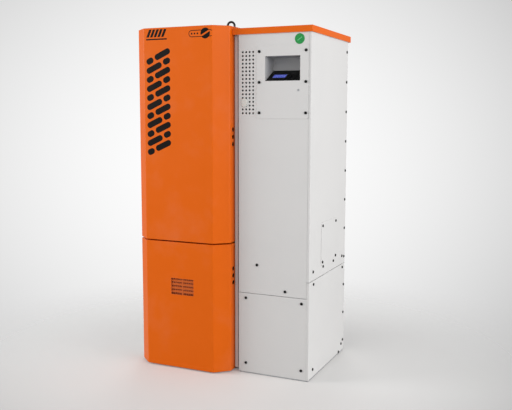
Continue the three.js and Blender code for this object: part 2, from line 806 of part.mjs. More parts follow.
function waterStub(z) {
  const front = vesselRear + fitGap;
  const rear = cabinetDepth + stubLength;
  const centre = [stubX, z];
  const collar = rod('y', centre, stubCollarRadius, front, front + stubCollar, nutSides);
  const pipe = rod('y', centre, stubRadius, front, rear, pipeSides);
  const bore = rod('y', centre, stubBoreRadius, front - cutOver, rear + cutOver, pipeSides);
  return collar.add(pipe).subtract(bore);
}

function drainValve() {
  const front = vesselRear + fitGap;
  const centre = [drainX, drainHeight];
  const pipe = rod('y', centre, drainRadius, front, drainRear, pipeSides);
  const half = drainBallLength / 2;
  const ball = rod('y', centre, drainBallRadius, drainStemY - half, drainStemY + half, pinSides);
  const neckTop = drainHeight + drainBallRadius + drainStemDepth;
  const stemCentre = [drainX, drainStemY];
  const neckBottom = drainHeight + drainBoreRadius + sheet;
  const neck = rod('z', stemCentre, drainStemRadius + sheet, neckBottom, neckTop, pinSides);
  const socketBottom = neckTop - drainStemDepth;
  const socket = rod('z', stemCentre, drainStemRadius + runGap, socketBottom, neckTop + cutOver, pinSides);
  return cut(joined([pipe, ball, neck]), [
    rod('y', centre, drainBoreRadius, front - cutOver, drainRear + cutOver, pinSides),
    socket,
  ]);
}

// The drain valve's lever, closed across the pipe
function drainLever() {
  const seat = drainHeight + drainBallRadius + drainStemDepth + fitGap;
  const half = drainLeverWidth / 2;
  const top = seat + drainLeverThickness;
  const tip = drainX - drainLeverLength;
  const bar = box([tip, drainStemY - half, seat], [drainX + half, drainStemY + half, top]);
  const stemBottom = seat - drainStemDepth;
  const stem = rod('z', [drainX, drainStemY], drainStemRadius, stemBottom, seat + cutOver, pinSides);
  return bar.add(stem);
}

// Burner: a box with its flange, its flame tube, the bearing of the fan and the inlet for pellets
function burner() {
  const shell = box([burnerLeft, 0, burnerBottom], [burnerRight, burnerRear + cutOver, burnerTop]);
  const edge = burnerFlangeEdge;
  const flange = box(
    [burnerLeft - edge, burnerRear, burnerBottom - edge],
    [burnerRight + edge, vesselFace, burnerTop + edge],
  );
  const centre = [boilerCentre, burnerHeight];
  const tubeRear = vesselFront + flameTubeLength;
  const tube = rod('y', centre, flameTubeRadius, burnerRear, tubeRear, discSides);
  const bearing = rod('y', centre, fanBearingRadius, 0, fanBearingLength, pinSides);
  const inlet = rodBetween(feedPoint(-burnerWall), feedPoint(inletLength), feedPipeRadius, pipeSides);
  const room = box(
    [burnerLeft + burnerWall, burnerWall, burnerBottom + burnerWall],
    [burnerRight - burnerWall, burnerRear, burnerTop - burnerWall],
  );
  const tubeBoreRadius = flameTubeRadius - burnerWall;
  const tubeBore = rod('y', centre, tubeBoreRadius, burnerRear - cutOver, tubeRear + cutOver, discSides);
  const inletBore = rodBetween(
    feedPoint(-feedPipeRadius),
    feedPoint(inletLength + cutOver),
    feedPipeRadius - feedPipeWall,
    pipeSides,
  );
  const shaftBore = rod('y', centre, fanShaftRadius + runGap, -cutOver, fanBearingLength + cutOver, pinSides);
  const inletClear = inlet.subtract(box(
    [burnerLeft + burnerWall, burnerWall, burnerBottom],
    [burnerRight + edge, burnerRear, burnerTop - burnerWall],
  ));
  const body = joined([shell, flange, tube, inletClear]).subtract(room).add(bearing);
  return cut(body, [tubeBore, inletBore, shaftBore]);
}

// A point on the feed's slope, at a distance from where it meets the burner's top
function feedPoint(distance) {
  const step = distance / Math.SQRT2;
  return [inletX + step, feedY, inletX + step + feedRise];
}

function fanHousing() {
  const centre = [boilerCentre, burnerHeight];
  const cup = rod('y', centre, fanRadius, -fitGap - fanDepth, -fitGap, discSides);
  const hollow = rod('y', centre, fanRadius - fanWall, fanWall - fitGap - fanDepth, cutOver, discSides);
  const mouth = rod('y', centre, fanMouthRadius, -fanDepth - cutOver, 0, pipeSides);
  return cut(cup, [hollow, mouth]);
}

function fanImpeller() {
  const centre = [boilerCentre, burnerHeight];
  const rear = -fanShaftLength / 2;
  const disc = rod('y', centre, impellerRadius, rear - impellerDisc, rear, discSides);
  const hub = rod('y', centre, impellerHubRadius, rear - impellerDepth, rear, pinSides);
  const shaft = rod('y', centre, fanShaftRadius, rear - cutOver, fanShaftLength / 2, pinSides);
  const blades = Array.from({ length: impellerBlades }, (_, index) => {
    const blade = new THREE.BoxGeometry(impellerBladeLength, impellerDepth, impellerBladeThickness);
    blade.translate(impellerRadius - impellerBladeLength / 2 - cutOver, rear - impellerDepth / 2, 0);
    blade.rotateY((index * 2 * Math.PI) / impellerBlades);
    return solid(blade.translate(boilerCentre, 0, burnerHeight));
  });
  return joined([disc, hub, shaft, ...blades]);
}

function ashPan() {
  const left = fireboxLeft + panSideGap;
  const right = fireboxRight - panSideGap;
  const floor = fireboxFloor + fitGap;
  const top = fireboxFloor + ashMouthHeight - panSideGap;
  const pan = box([left, vesselFace - cutOver, floor], [right, fireboxRear - panRearGap, top]);
  const well = box(
    [left + panWall, vesselFront + panWall, floor + panWall],
    [right - panWall, fireboxRear - panRearGap - panWall, top + cutOver],
  );
  const front = box(
    [fireboxLeft - panFrontEdge, vesselFace - panFront, fireboxFloor - panFrontEdge],
    [fireboxRight + panFrontEdge, vesselFace, fireboxFloor + ashMouthHeight + panFrontEdge],
  );
  const handleZ = fireboxFloor + ashMouthHeight / 2;
  const half = panHandleThickness / 2;
  const handleFront = vesselFace - panFront - panHandleReach;
  const grip = box(
    [boilerCentre - panHandleWidth / 2, handleFront, handleZ - half],
    [boilerCentre + panHandleWidth / 2, vesselFace - cutOver, handleZ + half],
  );
  const gapHalf = panHandleWidth / 2 - panHandleThickness;
  const gap = box(
    [boilerCentre - gapHalf, handleFront + panHandleThickness, handleZ - half - cutOver],
    [boilerCentre + gapHalf, vesselFace - panFront, handleZ + half + cutOver],
  );
  return joined([pan.subtract(well), front.add(grip).subtract(gap)]);
}

// The doors' plan outline, from the left rear corner round the front to the right rear corner
function doorCorners(rear) {
  const front = -doorProjection;
  const side = doorChamferDepth - doorProjection;
  return [
    [0, rear],
    [0, side, doorBend],
    [doorChamferWidth, front, doorBend],
    [boilerWidth - doorChamferWidth, front, doorBend],
    [boilerWidth, side, doorBend],
    [boilerWidth, rear],
  ];
}

// A door is a deep sheet tray, open at the back
function doorTray(bottom, top, fingerHeight) {
  const hollowCorners = inset(doorCorners(doorReturn + sheet + cutOver), sheet);
  const tray = prism('z', rounded(doorCorners(doorReturn)), bottom, top);
  const hollow = prism('z', rounded(hollowCorners), bottom + sheet, top - sheet);
  const holes = Array.from({ length: fingerHoles }, (_, index) => {
    const z = fingerHeight + (index - (fingerHoles - 1) / 2) * fingerHolePitch;
    const centre = [doorReturn - fingerHoleInset, z];
    return rod('x', centre, fingerHoleRadius, boilerWidth - sheet - cutOver, boilerWidth + cutOver, pipeSides);
  });
  return cut(tray, [hollow, ...holes, ...hingeCuts(bottom, top)]);
}

// Holes for the hinge pins, and notches that let the door's left edge pass the hinge arms
function hingeCuts(bottom, top) {
  const hole = rod('z', [hingeX, hingeY], hingePinRadius + runGap, bottom - cutOver, top + cutOver, pinSides);
  const depth = hingeArm + fitGap + hingeNotchGap;
  const notch = (from) => box(
    [-cutOver, hingeY - hingeArmWidth, from],
    [sheet + cutOver, doorReturn + cutOver, from + depth],
  );
  return [hole, notch(bottom + sheet), notch(top - sheet - depth)];
}

function lowerDoor() {
  const slotWidth = (ventWidth - ventMidWidth) / 2;
  const slots = [];
  for (let row = 0; row < ventRows; row += 1) {
    const z = ventHeight + (row - (ventRows - 1) / 2) * ventRowPitch;
    for (const x of [ventCentreX - ventWidth / 2, ventCentreX + ventMidWidth / 2]) {
      const low = [x, -doorProjection - cutOver, z - ventSlotHeight / 2];
      slots.push(box(low, [x + slotWidth, sheet + cutOver - doorProjection, z + ventSlotHeight / 2]));
    }
  }
  return cut(doorTray(doorFoot, doorSplit, lowerFingerHeight), slots);
}

const upperDoor = () => doorTray(doorSplit + doorSplitGap, boilerHeight, upperFingerHeight);

// An arm of a door hinge with its pin, from the pin back to a rear plane. faces is 1 where the arm lies on
// a door's bottom and -1 where it lies under a door's top.
function hingeArmAt(doorEnd, faces, rear) {
  const near = doorEnd + faces * (sheet + fitGap);
  const far = doorEnd + faces * hingeReach;
  const [low, high] = [near, far].sort((a, b) => a - b);
  const [pinLow, pinHigh] = [doorEnd - hingePinTip, far].sort((a, b) => a - b);
  const half = hingeArmWidth / 2;
  return joined([
    rod('z', [hingeX, hingeY], half, low, high, pinSides),
    box([hingeX - half, hingeY, low], [hingeX + half, rear, high]),
    rod('z', [hingeX, hingeY], hingePinRadius, pinLow, pinHigh, pinSides),
  ]);
}

// The leaf of a door hinge, on the left panel's inner face
function hingeLeaf(low, high) {
  const face = sheet + fitGap;
  return box([face, casingFront + sheet, low], [face + hingeArm, casingFront + hingeLeafLength, high]);
}

// The lower bracket stands on the front wall of the base tray
function lowerHingeBracket() {
  const rear = casingFront + sheet - fitGap;
  const low = [hingeX - hingeArmWidth / 2, rear - hingeArm, doorFoot + sheet + fitGap];
  const leaf = box(low, [hingeX + hingeLeafLength, rear, trayHeight - sheet]);
  return hingeArmAt(doorFoot, 1, rear).add(leaf);
}

// The middle bracket holds the lower door's top and the upper door's bottom
function middleHingeBracket() {
  const upperDoorFoot = doorSplit + doorSplitGap;
  const rear = casingFront + hingeLeafLength;
  const arms = [hingeArmAt(doorSplit, -1, rear), hingeArmAt(upperDoorFoot, 1, rear)];
  return joined([...arms, hingeLeaf(doorSplit - hingeReach, upperDoorFoot + hingeReach)]);
}

function upperHingeBracket() {
  const arm = hingeArmAt(boilerHeight, -1, casingFront + hingeLeafLength);
  return arm.add(hingeLeaf(casingTop - hingeLeafHeight, casingTop));
}

// Hopper cabinet
function hopperFront(bottom, top) {
  const outline = [
    [hopperFaceLeft, 0],
    [totalWidth - cornerFold - fitGap, 0],
    [totalWidth - cornerFold - fitGap, sheet],
    [hopperFaceLeft + sheet, sheet],
    [hopperFaceLeft + sheet, stripRecess - fitGap],
    [hopperFaceLeft, stripRecess - fitGap],
  ];
  return prism('z', outline, bottom, top);
}

// The places of the control plate's screws, two in each row
function controlScrews() {
  const pitch = (controlTop - controlBottom - 2 * controlScrewEdge) / (controlScrewRows - 1);
  const lowest = controlBottom + controlScrewEdge;
  const rows = Array.from({ length: controlScrewRows }, (_, row) => lowest + row * pitch);
  return rows.flatMap((z) => [
    [controlLeft + controlScrewInset, z],
    [totalWidth - cornerFold - controlScrewInset, z],
  ]);
}

function hopperFrontPanel() {
  const panel = hopperFront(frontSeam + seamGap / 2, panelTop);
  const opening = box(
    [windowLeft - recessEdge, -cutOver, windowBottom - recessEdge],
    [windowRight + recessEdge, sheet + cutOver, windowTop + recessEdge],
  );
  const holes = [];
  for (let row = 0; row < holeRows; row += 1) {
    for (let column = 0; column < holeColumns; column += 1) {
      const x = hopperFaceLeft + holeInsetX + column * holePitchX;
      const z = holeStart + row * holePitchZ;
      holes.push(rod('y', [x, z], holeRadius, -cutOver, sheet + cutOver, holeSides));
    }
  }
  const heads = [
    screwHead('y', [hopperFaceLeft + frontScrewHighX, frontScrewHighZ], 0, -1),
    screwHead('y', [hopperFaceLeft + frontScrewLowX, frontScrewLowZ], 0, -1),
  ];
  return joined([cut(panel, [opening, ...holes]), ...heads]);
}

function lowerFrontCover() {
  const cover = hopperFront(panelFoot, frontSeam - seamGap / 2);
  const columns = [hopperFaceLeft + lowerScrewLeft, totalWidth - cornerFold - lowerScrewRight];
  const rows = [panelFoot + lowerScrewFoot, frontSeam - lowerScrewDrop];
  const heads = columns.flatMap((x) => rows.map((z) => screwHead('y', [x, z], 0, -1)));
  return joined([cover, ...heads]);
}

// A right side panel, folded round the front corner
function hopperSide(bottom, top) {
  const inner = totalWidth - sheet;
  const outline = [
    [totalWidth - cornerFold, 0],
    [totalWidth, 0],
    [totalWidth, flangeRear],
    [inner, flangeRear],
    [inner, sheet],
    [totalWidth - cornerFold, sheet],
  ];
  const edge = [];
  for (let z = edgeScrewStart; z < top; z += edgeScrewPitch) {
    if (z > bottom) edge.push(screwHead('x', [cabinetDepth - edgeScrewInset, z], totalWidth, 1));
  }
  return joined([prism('z', outline, bottom, top), ...edge]);
}

function upperSidePanel() {
  const panel = hopperSide(sideSeam + seamGap / 2, panelTop);
  const hole = box(
    [totalWidth - sheet - cutOver, accessFront + accessLap, accessBottom + accessLap],
    [totalWidth + cutOver, accessRear - accessLap, accessTop - accessLap],
  );
  const rowLength = cabinetDepth - 2 * sideRowInset;
  const row = sideRowShares.map((share) => (
    screwHead('x', [sideRowInset + share * rowLength, sideRowZ], totalWidth, 1)
  ));
  return joined([panel.subtract(hole), ...row]);
}

function lowerSidePanel() {
  const top = sideSeam - seamGap / 2;
  const columns = [sideScrewFront, cabinetDepth - sideScrewRear];
  const rows = [panelFoot + sideScrewFoot, top - sideScrewDrop];
  const heads = columns.flatMap((y) => rows.map((z) => screwHead('x', [y, z], totalWidth, 1)));
  return joined([hopperSide(panelFoot, top), ...heads]);
}

function accessCover() {
  const face = totalWidth + fitGap;
  const outline = rectangle(accessFront, accessBottom, accessRear, accessTop);
  const corners = outline.map(([y, z]) => [y, z, accessCorner]);
  const cover = prism('x', rounded(corners), face, face + accessSheet);
  const heads = [accessFront + accessScrewInset, accessRear - accessScrewInset].flatMap((y) => (
    [accessBottom + accessScrewInset, accessTop - accessScrewInset]
      .map((z) => screwHead('x', [y, z], face + accessSheet, 1))
  ));
  return joined([cover, ...heads]);
}

function hopperRearPanel() {
  const web = box([cabinetLeft, rearPlane, panelFoot], [totalWidth, cabinetDepth, panelTop]);
  const front = rearPlane - flangeWidth;
  const right = totalWidth - sheet - fitGap;
  const flange = box([right - sheet, front, trayTop], [right, rearPlane + cutOver, panelTop]);
  const radius = glandBoreRadius + sheet + slipGap;
  const hole = rod('y', [glandX, glandZ], radius, rearPlane - cutOver, cabinetDepth + cutOver, pinSides);
  return web.add(flange).subtract(hole);
}

function hopperLeftPanel() {
  const low = [cabinetLeft, stripRecess + sheet + fitGap, trayTop];
  return box(low, [cabinetLeft + sheet, flangeRear, panelTop]).subtract(hoseWindow());
}

function fillerStrip() {
  const low = [lidLeft, stripRecess, stripFoot];
  return box(low, [hopperFaceLeft + sheet, stripRecess + sheet, stripTop]);
}

// Bin for the pellets: a rim over the whole cabinet, straight walls and a tapered bottom
function pelletHopper() {
  const rim = box([cabinetLeft, 0, rimHeight - sheet], [totalWidth, cabinetDepth, rimHeight]);
  const side = [cabinetLeft + binSideGap, totalWidth - binSideGap];
  const deep = [binFront, cabinetDepth - binRearGap];
  const throat = [augerX - throatWidth / 2, augerX + throatWidth / 2];
  const bottom = throatTop + fitGap;
  const outer = funnel(side, deep, throat, [throatFront, throatRear], 0, bottom, rimHeight);
  const top = rimHeight + cutOver;
  const inner = funnel(side, deep, throat, [throatFront, throatRear], sheet, bottom - cutOver, top);
  return rim.add(outer).subtract(inner);
}

// A funnel's outer or inner shape, as two outlines that cross: one seen from the front, one from the side.
// The outer shape has no straight foot, so the corners that would be there twice are left out.
function funnel(side, deep, throatX, throatY, wall, bottom, top) {
  const outline = ([u0, u1], [t0, t1]) => [
    [t0 + wall, bottom],
    [t1 - wall, bottom],
    [t1 - wall, throatTop + fitGap],
    [u1 - wall, binTaper],
    [u1 - wall, top],
    [u0 + wall, top],
    [u0 + wall, binTaper],
    [t0 + wall, throatTop + fitGap],
  ].filter(([u, v], index, all) => index === 0 || u !== all[index - 1][0] || v !== all[index - 1][1]);
  const front = prism('y', outline(side, throatX), deep[0] - cutOver, deep[1] + cutOver);
  const across = prism('x', outline(deep, throatY), side[0] - cutOver, side[1] + cutOver);
  return front.intersect(across);
}

function augerTube() {
  const centre = [augerX, augerHeight];
  const inner = augerTubeRadius - augerTubeWall;
  const half = throatWidth / 2;
  const outlet = augerX - inletX;
  const outletEnd = Math.SQRT2 * outlet - outletLength;
  const tube = rod('y', centre, augerTubeRadius, augerFront, augerRear, discSides);
  const bore = rod('y', centre, inner, augerFront + augerTubeWall, augerRear + cutOver, discSides);
  const collar = box([augerX - half, throatFront, augerHeight], [augerX + half, throatRear, throatTop]);
  const mouth = box(
    [augerX - half + sheet, throatFront + sheet, augerHeight],
    [augerX + half - sheet, throatRear - sheet, throatTop + cutOver],
  );
  const pipe = rodBetween(feedPoint(Math.SQRT2 * outlet), feedPoint(outletEnd), feedPipeRadius, pipeSides);
  const pipeBore = rodBetween(
    feedPoint(Math.SQRT2 * outlet),
    feedPoint(outletEnd - cutOver),
    feedPipeRadius - feedPipeWall,
    pipeSides,
  );
  return cut(joined([tube, collar, pipe]), [bore, mouth, pipeBore]);
}

// Screw flight: four corners are carried round the shaft and joined into one band
function screwFlight() {
  const stations = screwFlightTurns * screwFlightSteps + 1;
  const inner = screwShaftRadius / 2;
  const half = screwFlightThickness / 2;
  const section = [[inner, -half], [screwFlightRadius, -half], [screwFlightRadius, half], [inner, half]];
  const points = [];
  for (let station = 0; station < stations; station += 1) {
    const turn = (station / screwFlightSteps) * 2 * Math.PI;
    const y = flightFront + (station / screwFlightSteps) * screwFlightPitch;
    for (const [radius, side] of section) {
      points.push(augerX + radius * Math.cos(turn), y + side, augerHeight + radius * Math.sin(turn));
    }
  }
  const faces = [];
  for (let station = 0; station < stations - 1; station += 1) {
    for (let corner = 0; corner < 4; corner += 1) {
      const near = station * 4 + corner;
      const next = station * 4 + ((corner + 1) % 4);
      faces.push(near, next + 4, near + 4, near, next, next + 4);
    }
  }
  const last = (stations - 1) * 4;
  faces.push(0, 2, 1, 0, 3, 2, last, last + 1, last + 2, last, last + 2, last + 3);
  const geometry = new THREE.BufferGeometry();
  geometry.setAttribute('position', new THREE.BufferAttribute(new Float32Array(points), 3));
  geometry.setIndex(faces);
  return solid(geometry);
}

function augerScrew() {
  const start = augerFront + augerTubeWall + fitGap;
  const shaft = rod('y', [augerX, augerHeight], screwShaftRadius, start, augerRear + screwTail, pipeSides);
  return shaft.add(screwFlight());
}

function gearMotor() {
  const front = augerRear + fitGap;
  const top = augerHeight + gearboxHeight * gearboxTopShare;
  const bottom = top - gearboxHeight;
  const half = gearboxWidth / 2;
  const gearbox = box([augerX - half, front, bottom], [augerX + half, front + gearboxDepth, top]);
  const motorCentre = [augerX, front + gearboxDepth / 2];
  const motor = rod('z', motorCentre, motorRadius, bottom - motorLength, bottom + cutOver, pipeSides);
  const boreRear = augerRear + screwTail + sheet;
  const boreRadius = screwShaftRadius + runGap;
  const bore = rod('y', [augerX, augerHeight], boreRadius, front - cutOver, boreRear, pipeSides);
  return gearbox.add(motor).subtract(bore);
}

function feedHose() {
  const outletEnd = Math.SQRT2 * (augerX - inletX) - outletLength;
  const start = inletLength - hoseGrip;
  const end = outletEnd + hoseGrip;
  const bore = feedPipeRadius + slipGap;
  const outer = rodBetween(feedPoint(start), feedPoint(end), bore + hoseWall, pipeSides);
  return outer.subtract(rodBetween(feedPoint(start - cutOver), feedPoint(end + cutOver), bore, pipeSides));
}

function cableGland() {
  const centre = [glandX, glandZ];
  const face = cabinetDepth + fitGap;
  const nut = rod('y', centre, glandRadius, face, face + glandLength / 2, nutSides);
  const dome = rod('y', centre, glandRadius - sheet, face, face + glandLength, pinSides);
  const shank = rod('y', centre, glandBoreRadius + sheet, rearPlane, face + cutOver, pinSides);
  return joined([nut, dome, shank]).subtract(
    rod('y', centre, glandBoreRadius, rearPlane - cutOver, face + glandLength + cutOver, pinSides),
  );
}

// Lid: a shallow tray with lugs for its hinges
function hopperLid() {
  const outline = rectangle(lidLeft, -lidFront, totalWidth + lidRight, cabinetDepth + lidRear);
  const bottom = lidTop - lidLip;
  const tray = prism('z', outline, bottom, lidTop);
  const hollow = prism('z', inset(outline, sheet), bottom - cutOver, lidTop - sheet);
  const lugs = lidHingeCentres.flatMap((x) => [-1, 1].map((side) => lidLugAt(x, side)));
  return joined([tray.subtract(hollow), ...lugs]);
}

// An ear of the lid that turns on a hinge's pin. side is 1 or -1 along X.
function lidLugAt(x, side) {
  const near = x + side * (lidKnuckleLength / 2 + fitGap);
  const [low, high] = [near, near + side * lidLug].sort((a, b) => a - b);
  const half = lidEarRadius;
  const ear = rod('x', [lidHingeY, lidHingeZ], half, low, high, pinSides);
  const web = box([low, lidHingeY - half, lidHingeZ], [high, lidHingeY + half, lidTop - sheet + cutOver]);
  const bore = lidPinRadius + runGap;
  const hole = rod('x', [lidHingeY, lidHingeZ], bore, low - cutOver, high + cutOver, pinSides);
  return ear.add(web).subtract(hole);
}

// The fixed half of a lid hinge with its pin. Its own zero is at the middle of the pin.
function lidHinge() {
  const half = lidKnuckleLength / 2;
  const face = cabinetDepth + fitGap - lidHingeY;
  const knuckle = rod('x', [0, 0], lidKnuckleRadius, -half, half, pinSides);
  const arm = box([-half, face, -lidKnuckleRadius], [half, 0, lidKnuckleRadius]);
  const leafTop = lidKnuckleRadius;
  const leafLow = [-lidLeafWidth / 2, face, leafTop - lidLeafHeight];
  const leaf = box(leafLow, [lidLeafWidth / 2, face + sheet, leafTop]);
  const reach = half + fitGap + lidLug + sheet;
  const pin = rod('x', [0, 0], lidPinRadius, -reach, reach, pinSides);
  return joined([knuckle, arm, leaf, pin]);
}

function lidSeal() {
  const right = totalWidth - sealInset;
  const outline = rectangle(cabinetLeft + sealInset, sealInset, right, cabinetDepth - sealInset);
  const bottom = sealTop - sealThickness;
  const block = prism('z', outline, bottom, sealTop);
  return block.subtract(prism('z', inset(outline, sealWidth), bottom - cutOver, sealTop + cutOver));
}

function controlPlate() {
  const right = totalWidth - cornerFold;
  const outline = rectangle(controlLeft, controlBottom, right, controlTop);
  const corners = outline.map(([x, z]) => [x, z, controlCorner]);
  const front = -fitGap - controlSheet;
  const panel = prism('y', rounded(corners), front, -fitGap);
  const window = box([windowLeft, front - cutOver, windowBottom], [windowRight, 0, windowTop]);
  const heads = controlScrews().map((centre) => screwHead('y', centre, front, -1));
  return joined([panel.subtract(window), ...heads]);
}

// The recess behind the window. The controller closes its floor.
function recessBox() {
  const profile = (wall, front, depth, drop) => [
    [front, windowBottom + front * slopeRise - drop],
    [depth, windowBottom + depth * slopeRise - drop],
    [depth, windowTop + wall],
    [front, windowTop + wall],
  ];
  const left = windowLeft - recessWall;
  const right = windowRight + recessWall;
  const outer = prism('x', profile(recessWall, 0, recessDepth + recessWall, 0), left, right);
  const room = prism('x', profile(0, -cutOver, recessDepth, cutOver), windowLeft, windowRight);
  return outer.subtract(room);
}

// The controller's own frame has its zero at the middle of the window's lower edge, with Y up the slope
const recessX = (fromLeft) => fromLeft - (windowRight - windowLeft) / 2;
const buttonPlaces = [0, 1].flatMap((row) => [0, 1].map((column) => [
  recessX(buttonLeft) + column * buttonPitchX,
  buttonFront + row * buttonPitchY,
]));

function controller() {
  const low = [-controllerHalf, sheet, -controllerThickness];
  const body = box(low, [controllerHalf, controllerDepth, -fitGap]);
  const face = -fitGap;
  const pocketLeft = recessX(displayLeft) - fitGap;
  const pocket = box(
    [pocketLeft, displayFront - fitGap, face - displayThickness - fitGap],
    [pocketLeft + displayWidth + 2 * fitGap, displayFront + displayHeight + fitGap, cutOver],
  );
  const wells = buttonPlaces.map(([x, y]) => {
    const halfX = buttonWidth / 2 + runGap;
    const halfY = buttonHeight / 2 + runGap;
    const floor = face - buttonDepth - buttonTravel - fitGap;
    return box([x - halfX, y - halfY, floor], [x + halfX, y + halfY, cutOver]);
  });
  return cut(body, [pocket, ...wells]);
}

function displayLens() {
  const left = recessX(displayLeft);
  const low = [left, displayFront, -fitGap - displayThickness];
  return box(low, [left + displayWidth, displayFront + displayHeight, -fitGap]);
}

// A button. Its own zero is on the controller's face.
function button() {
  const low = [-buttonWidth / 2, -buttonHeight / 2, -buttonDepth];
  return box(low, [buttonWidth / 2, buttonHeight / 2, buttonRise]);
}

function blankingPlug() {
  const centre = [hopperFaceLeft + plugInsetX, rimHeight - plugDrop];
  return rod('y', centre, plugRadius, -plugHeight, -fitGap, pipeSides);
}

// The assembly
const boiler = new THREE.Group();

function addMeshes(meshes) {
  const members = new THREE.Group();
  members.add(...meshes);
  boiler.add(members);
  return members;
}

function placed(mesh, x, y, z) {
  mesh.position.set(x, y, z);
  return mesh;
}

addMeshes([
  piece('base_tray', baseTray(), zincSteel),
  piece('left_side_panel', boilerSide(0, sheet, panelFoot), whitePaint),
  piece('boiler_right_panel', boilerRightPanel(), whitePaint),
  piece('boiler_rear_panel', boilerRear(), whitePaint),
  piece('top_cover', topCover(), orangePaint),
  piece('eye_bolt', eyeBolt(), blackSteel),
]);

const turbulators = Array.from({ length: smokeTubes }, (_, index) => {
  const mesh = piece(`turbulator_${index + 1}`, turbulator(), bareSteel);
  return placed(mesh, smokeTubeX(index), smokeTubeY, smokeBoxFloor);
});

const smokeTubePieces = Array.from({ length: smokeTubes }, (_, index) => {
  const mesh = piece(`smoke_tube_${index + 1}`, smokeTube(), bareSteel);
  return placed(mesh, smokeTubeX(index), smokeTubeY, smokeTubeStart);
});

addMeshes([
  piece('vessel_stand', vesselStand(), blackSteel),
  piece('boiler_vessel', boilerVessel(), vesselPaint),
  piece('fire_chamber', fireChamber(), bareSteel),
  piece('smoke_chamber', smokeChamber(), bareSteel),
  ...smokeTubePieces,
  piece('insulation_jacket', insulationJacket(), mineralWool),
  piece('exchanger_cover', exchangerCover(), vesselPaint),
  piece('cover_knob', coverKnob(), blackPlastic),
  ...turbulators,
  piece('flue_spigot', flueSpigot(), bareSteel),
  piece('flow_stub', waterStub(flowHeight), zincSteel),
  piece('return_stub', waterStub(returnHeight), zincSteel),
  piece('drain_valve', drainValve(), brass),
  piece('drain_lever', drainLever(), redPlastic),
  piece('burner', burner(), castIron),
  piece('fan_housing', fanHousing(), zincSteel),
  piece('fan_impeller', fanImpeller(), bareSteel),
  piece('ash_pan', ashPan(), blackSteel),
]);

addMeshes([
  piece('upper_door', upperDoor(), orangePaint),
  piece('lower_door', lowerDoor(), orangePaint),
  piece('lower_hinge_bracket', lowerHingeBracket(), zincSteel),
  piece('middle_hinge_bracket', middleHingeBracket(), zincSteel),
  piece('upper_hinge_bracket', upperHingeBracket(), zincSteel),
]);

addMeshes([
  piece('hopper_front_panel', hopperFrontPanel(), whitePaint),
  piece('lower_front_cover', lowerFrontCover(), whitePaint),
  piece('upper_side_panel', upperSidePanel(), whitePaint),
  piece('lower_side_panel', lowerSidePanel(), whitePaint),
  piece('access_cover', accessCover(), whitePaint),
  piece('hopper_rear_panel', hopperRearPanel(), whitePaint),
  piece('hopper_left_panel', hopperLeftPanel(), whitePaint),
  piece('filler_strip', fillerStrip(), whitePaint),
  piece('cable_gland', cableGland(), blackPlastic),
  piece('blanking_plug', blankingPlug(), greyPlastic),
]);

addMeshes([
  piece('pellet_hopper', pelletHopper(), zincSteel),
  piece('auger_tube', augerTube(), zincSteel),
  piece('auger_screw', augerScrew(), bareSteel),
  piece('gear_motor', gearMotor(), castIron),
  piece('feed_hose', feedHose(), clearHose),
]);

addMeshes([
  piece('hopper_lid', hopperLid(), orangePaint),
  piece('lid_seal', lidSeal(), foamRubber),
  placed(piece('lid_hinge_left', lidHinge(), zincSteel), lidHingeCentres[0], lidHingeY, lidHingeZ),
  placed(piece('lid_hinge_right', lidHinge(), zincSteel), lidHingeCentres[1], lidHingeY, lidHingeZ),
]);

addMeshes([
  piece('control_plate', controlPlate(), whitePaint),
  piece('recess_box', recessBox(), whitePaint),
]);

const controls = addMeshes([
  piece('controller', controller(), blackPlastic),
  piece('display_lens', displayLens(), blueGlass),
  ...buttonPlaces.map(([x, y], index) => (
    placed(piece(`button_${index + 1}`, button(), blackPlastic), x, y, -fitGap)
  )),
]);
controls.position.set(windowCentre, 0, windowBottom);
controls.rotation.x = THREE.MathUtils.degToRad(controllerSlope);

// The origin goes to the middle of the base
const middleX = (totalWidth + lidRight) / 2;
const middleY = (cabinetDepth + flueLength - doorProjection) / 2;
boiler.position.set(-middleX, -middleY, 0);

const group = new THREE.Group();
group.add(boiler);
export default group;
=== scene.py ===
# %% [markdown]
# # A wood pellet boiler with a side hopper
#
# The object is a tall boiler behind two deep orange doors, with a white pellet hopper cabinet beside it.
# Nearly everything that shows is painted steel sheet: cut flat, bent on a press brake and then powder
# coated. So the lesson is about making bent sheet look right: round bends, thin edges that catch the
# light, punched holes, black screws and a paint that is neither glossy nor dead flat.
#
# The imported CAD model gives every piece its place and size. This script gives the pieces their finish,
# and rebuilds those whose shape needs more care than the CAD solids have.

import json
import math

import bmesh
import bpy
from mathutils import Matrix, Vector


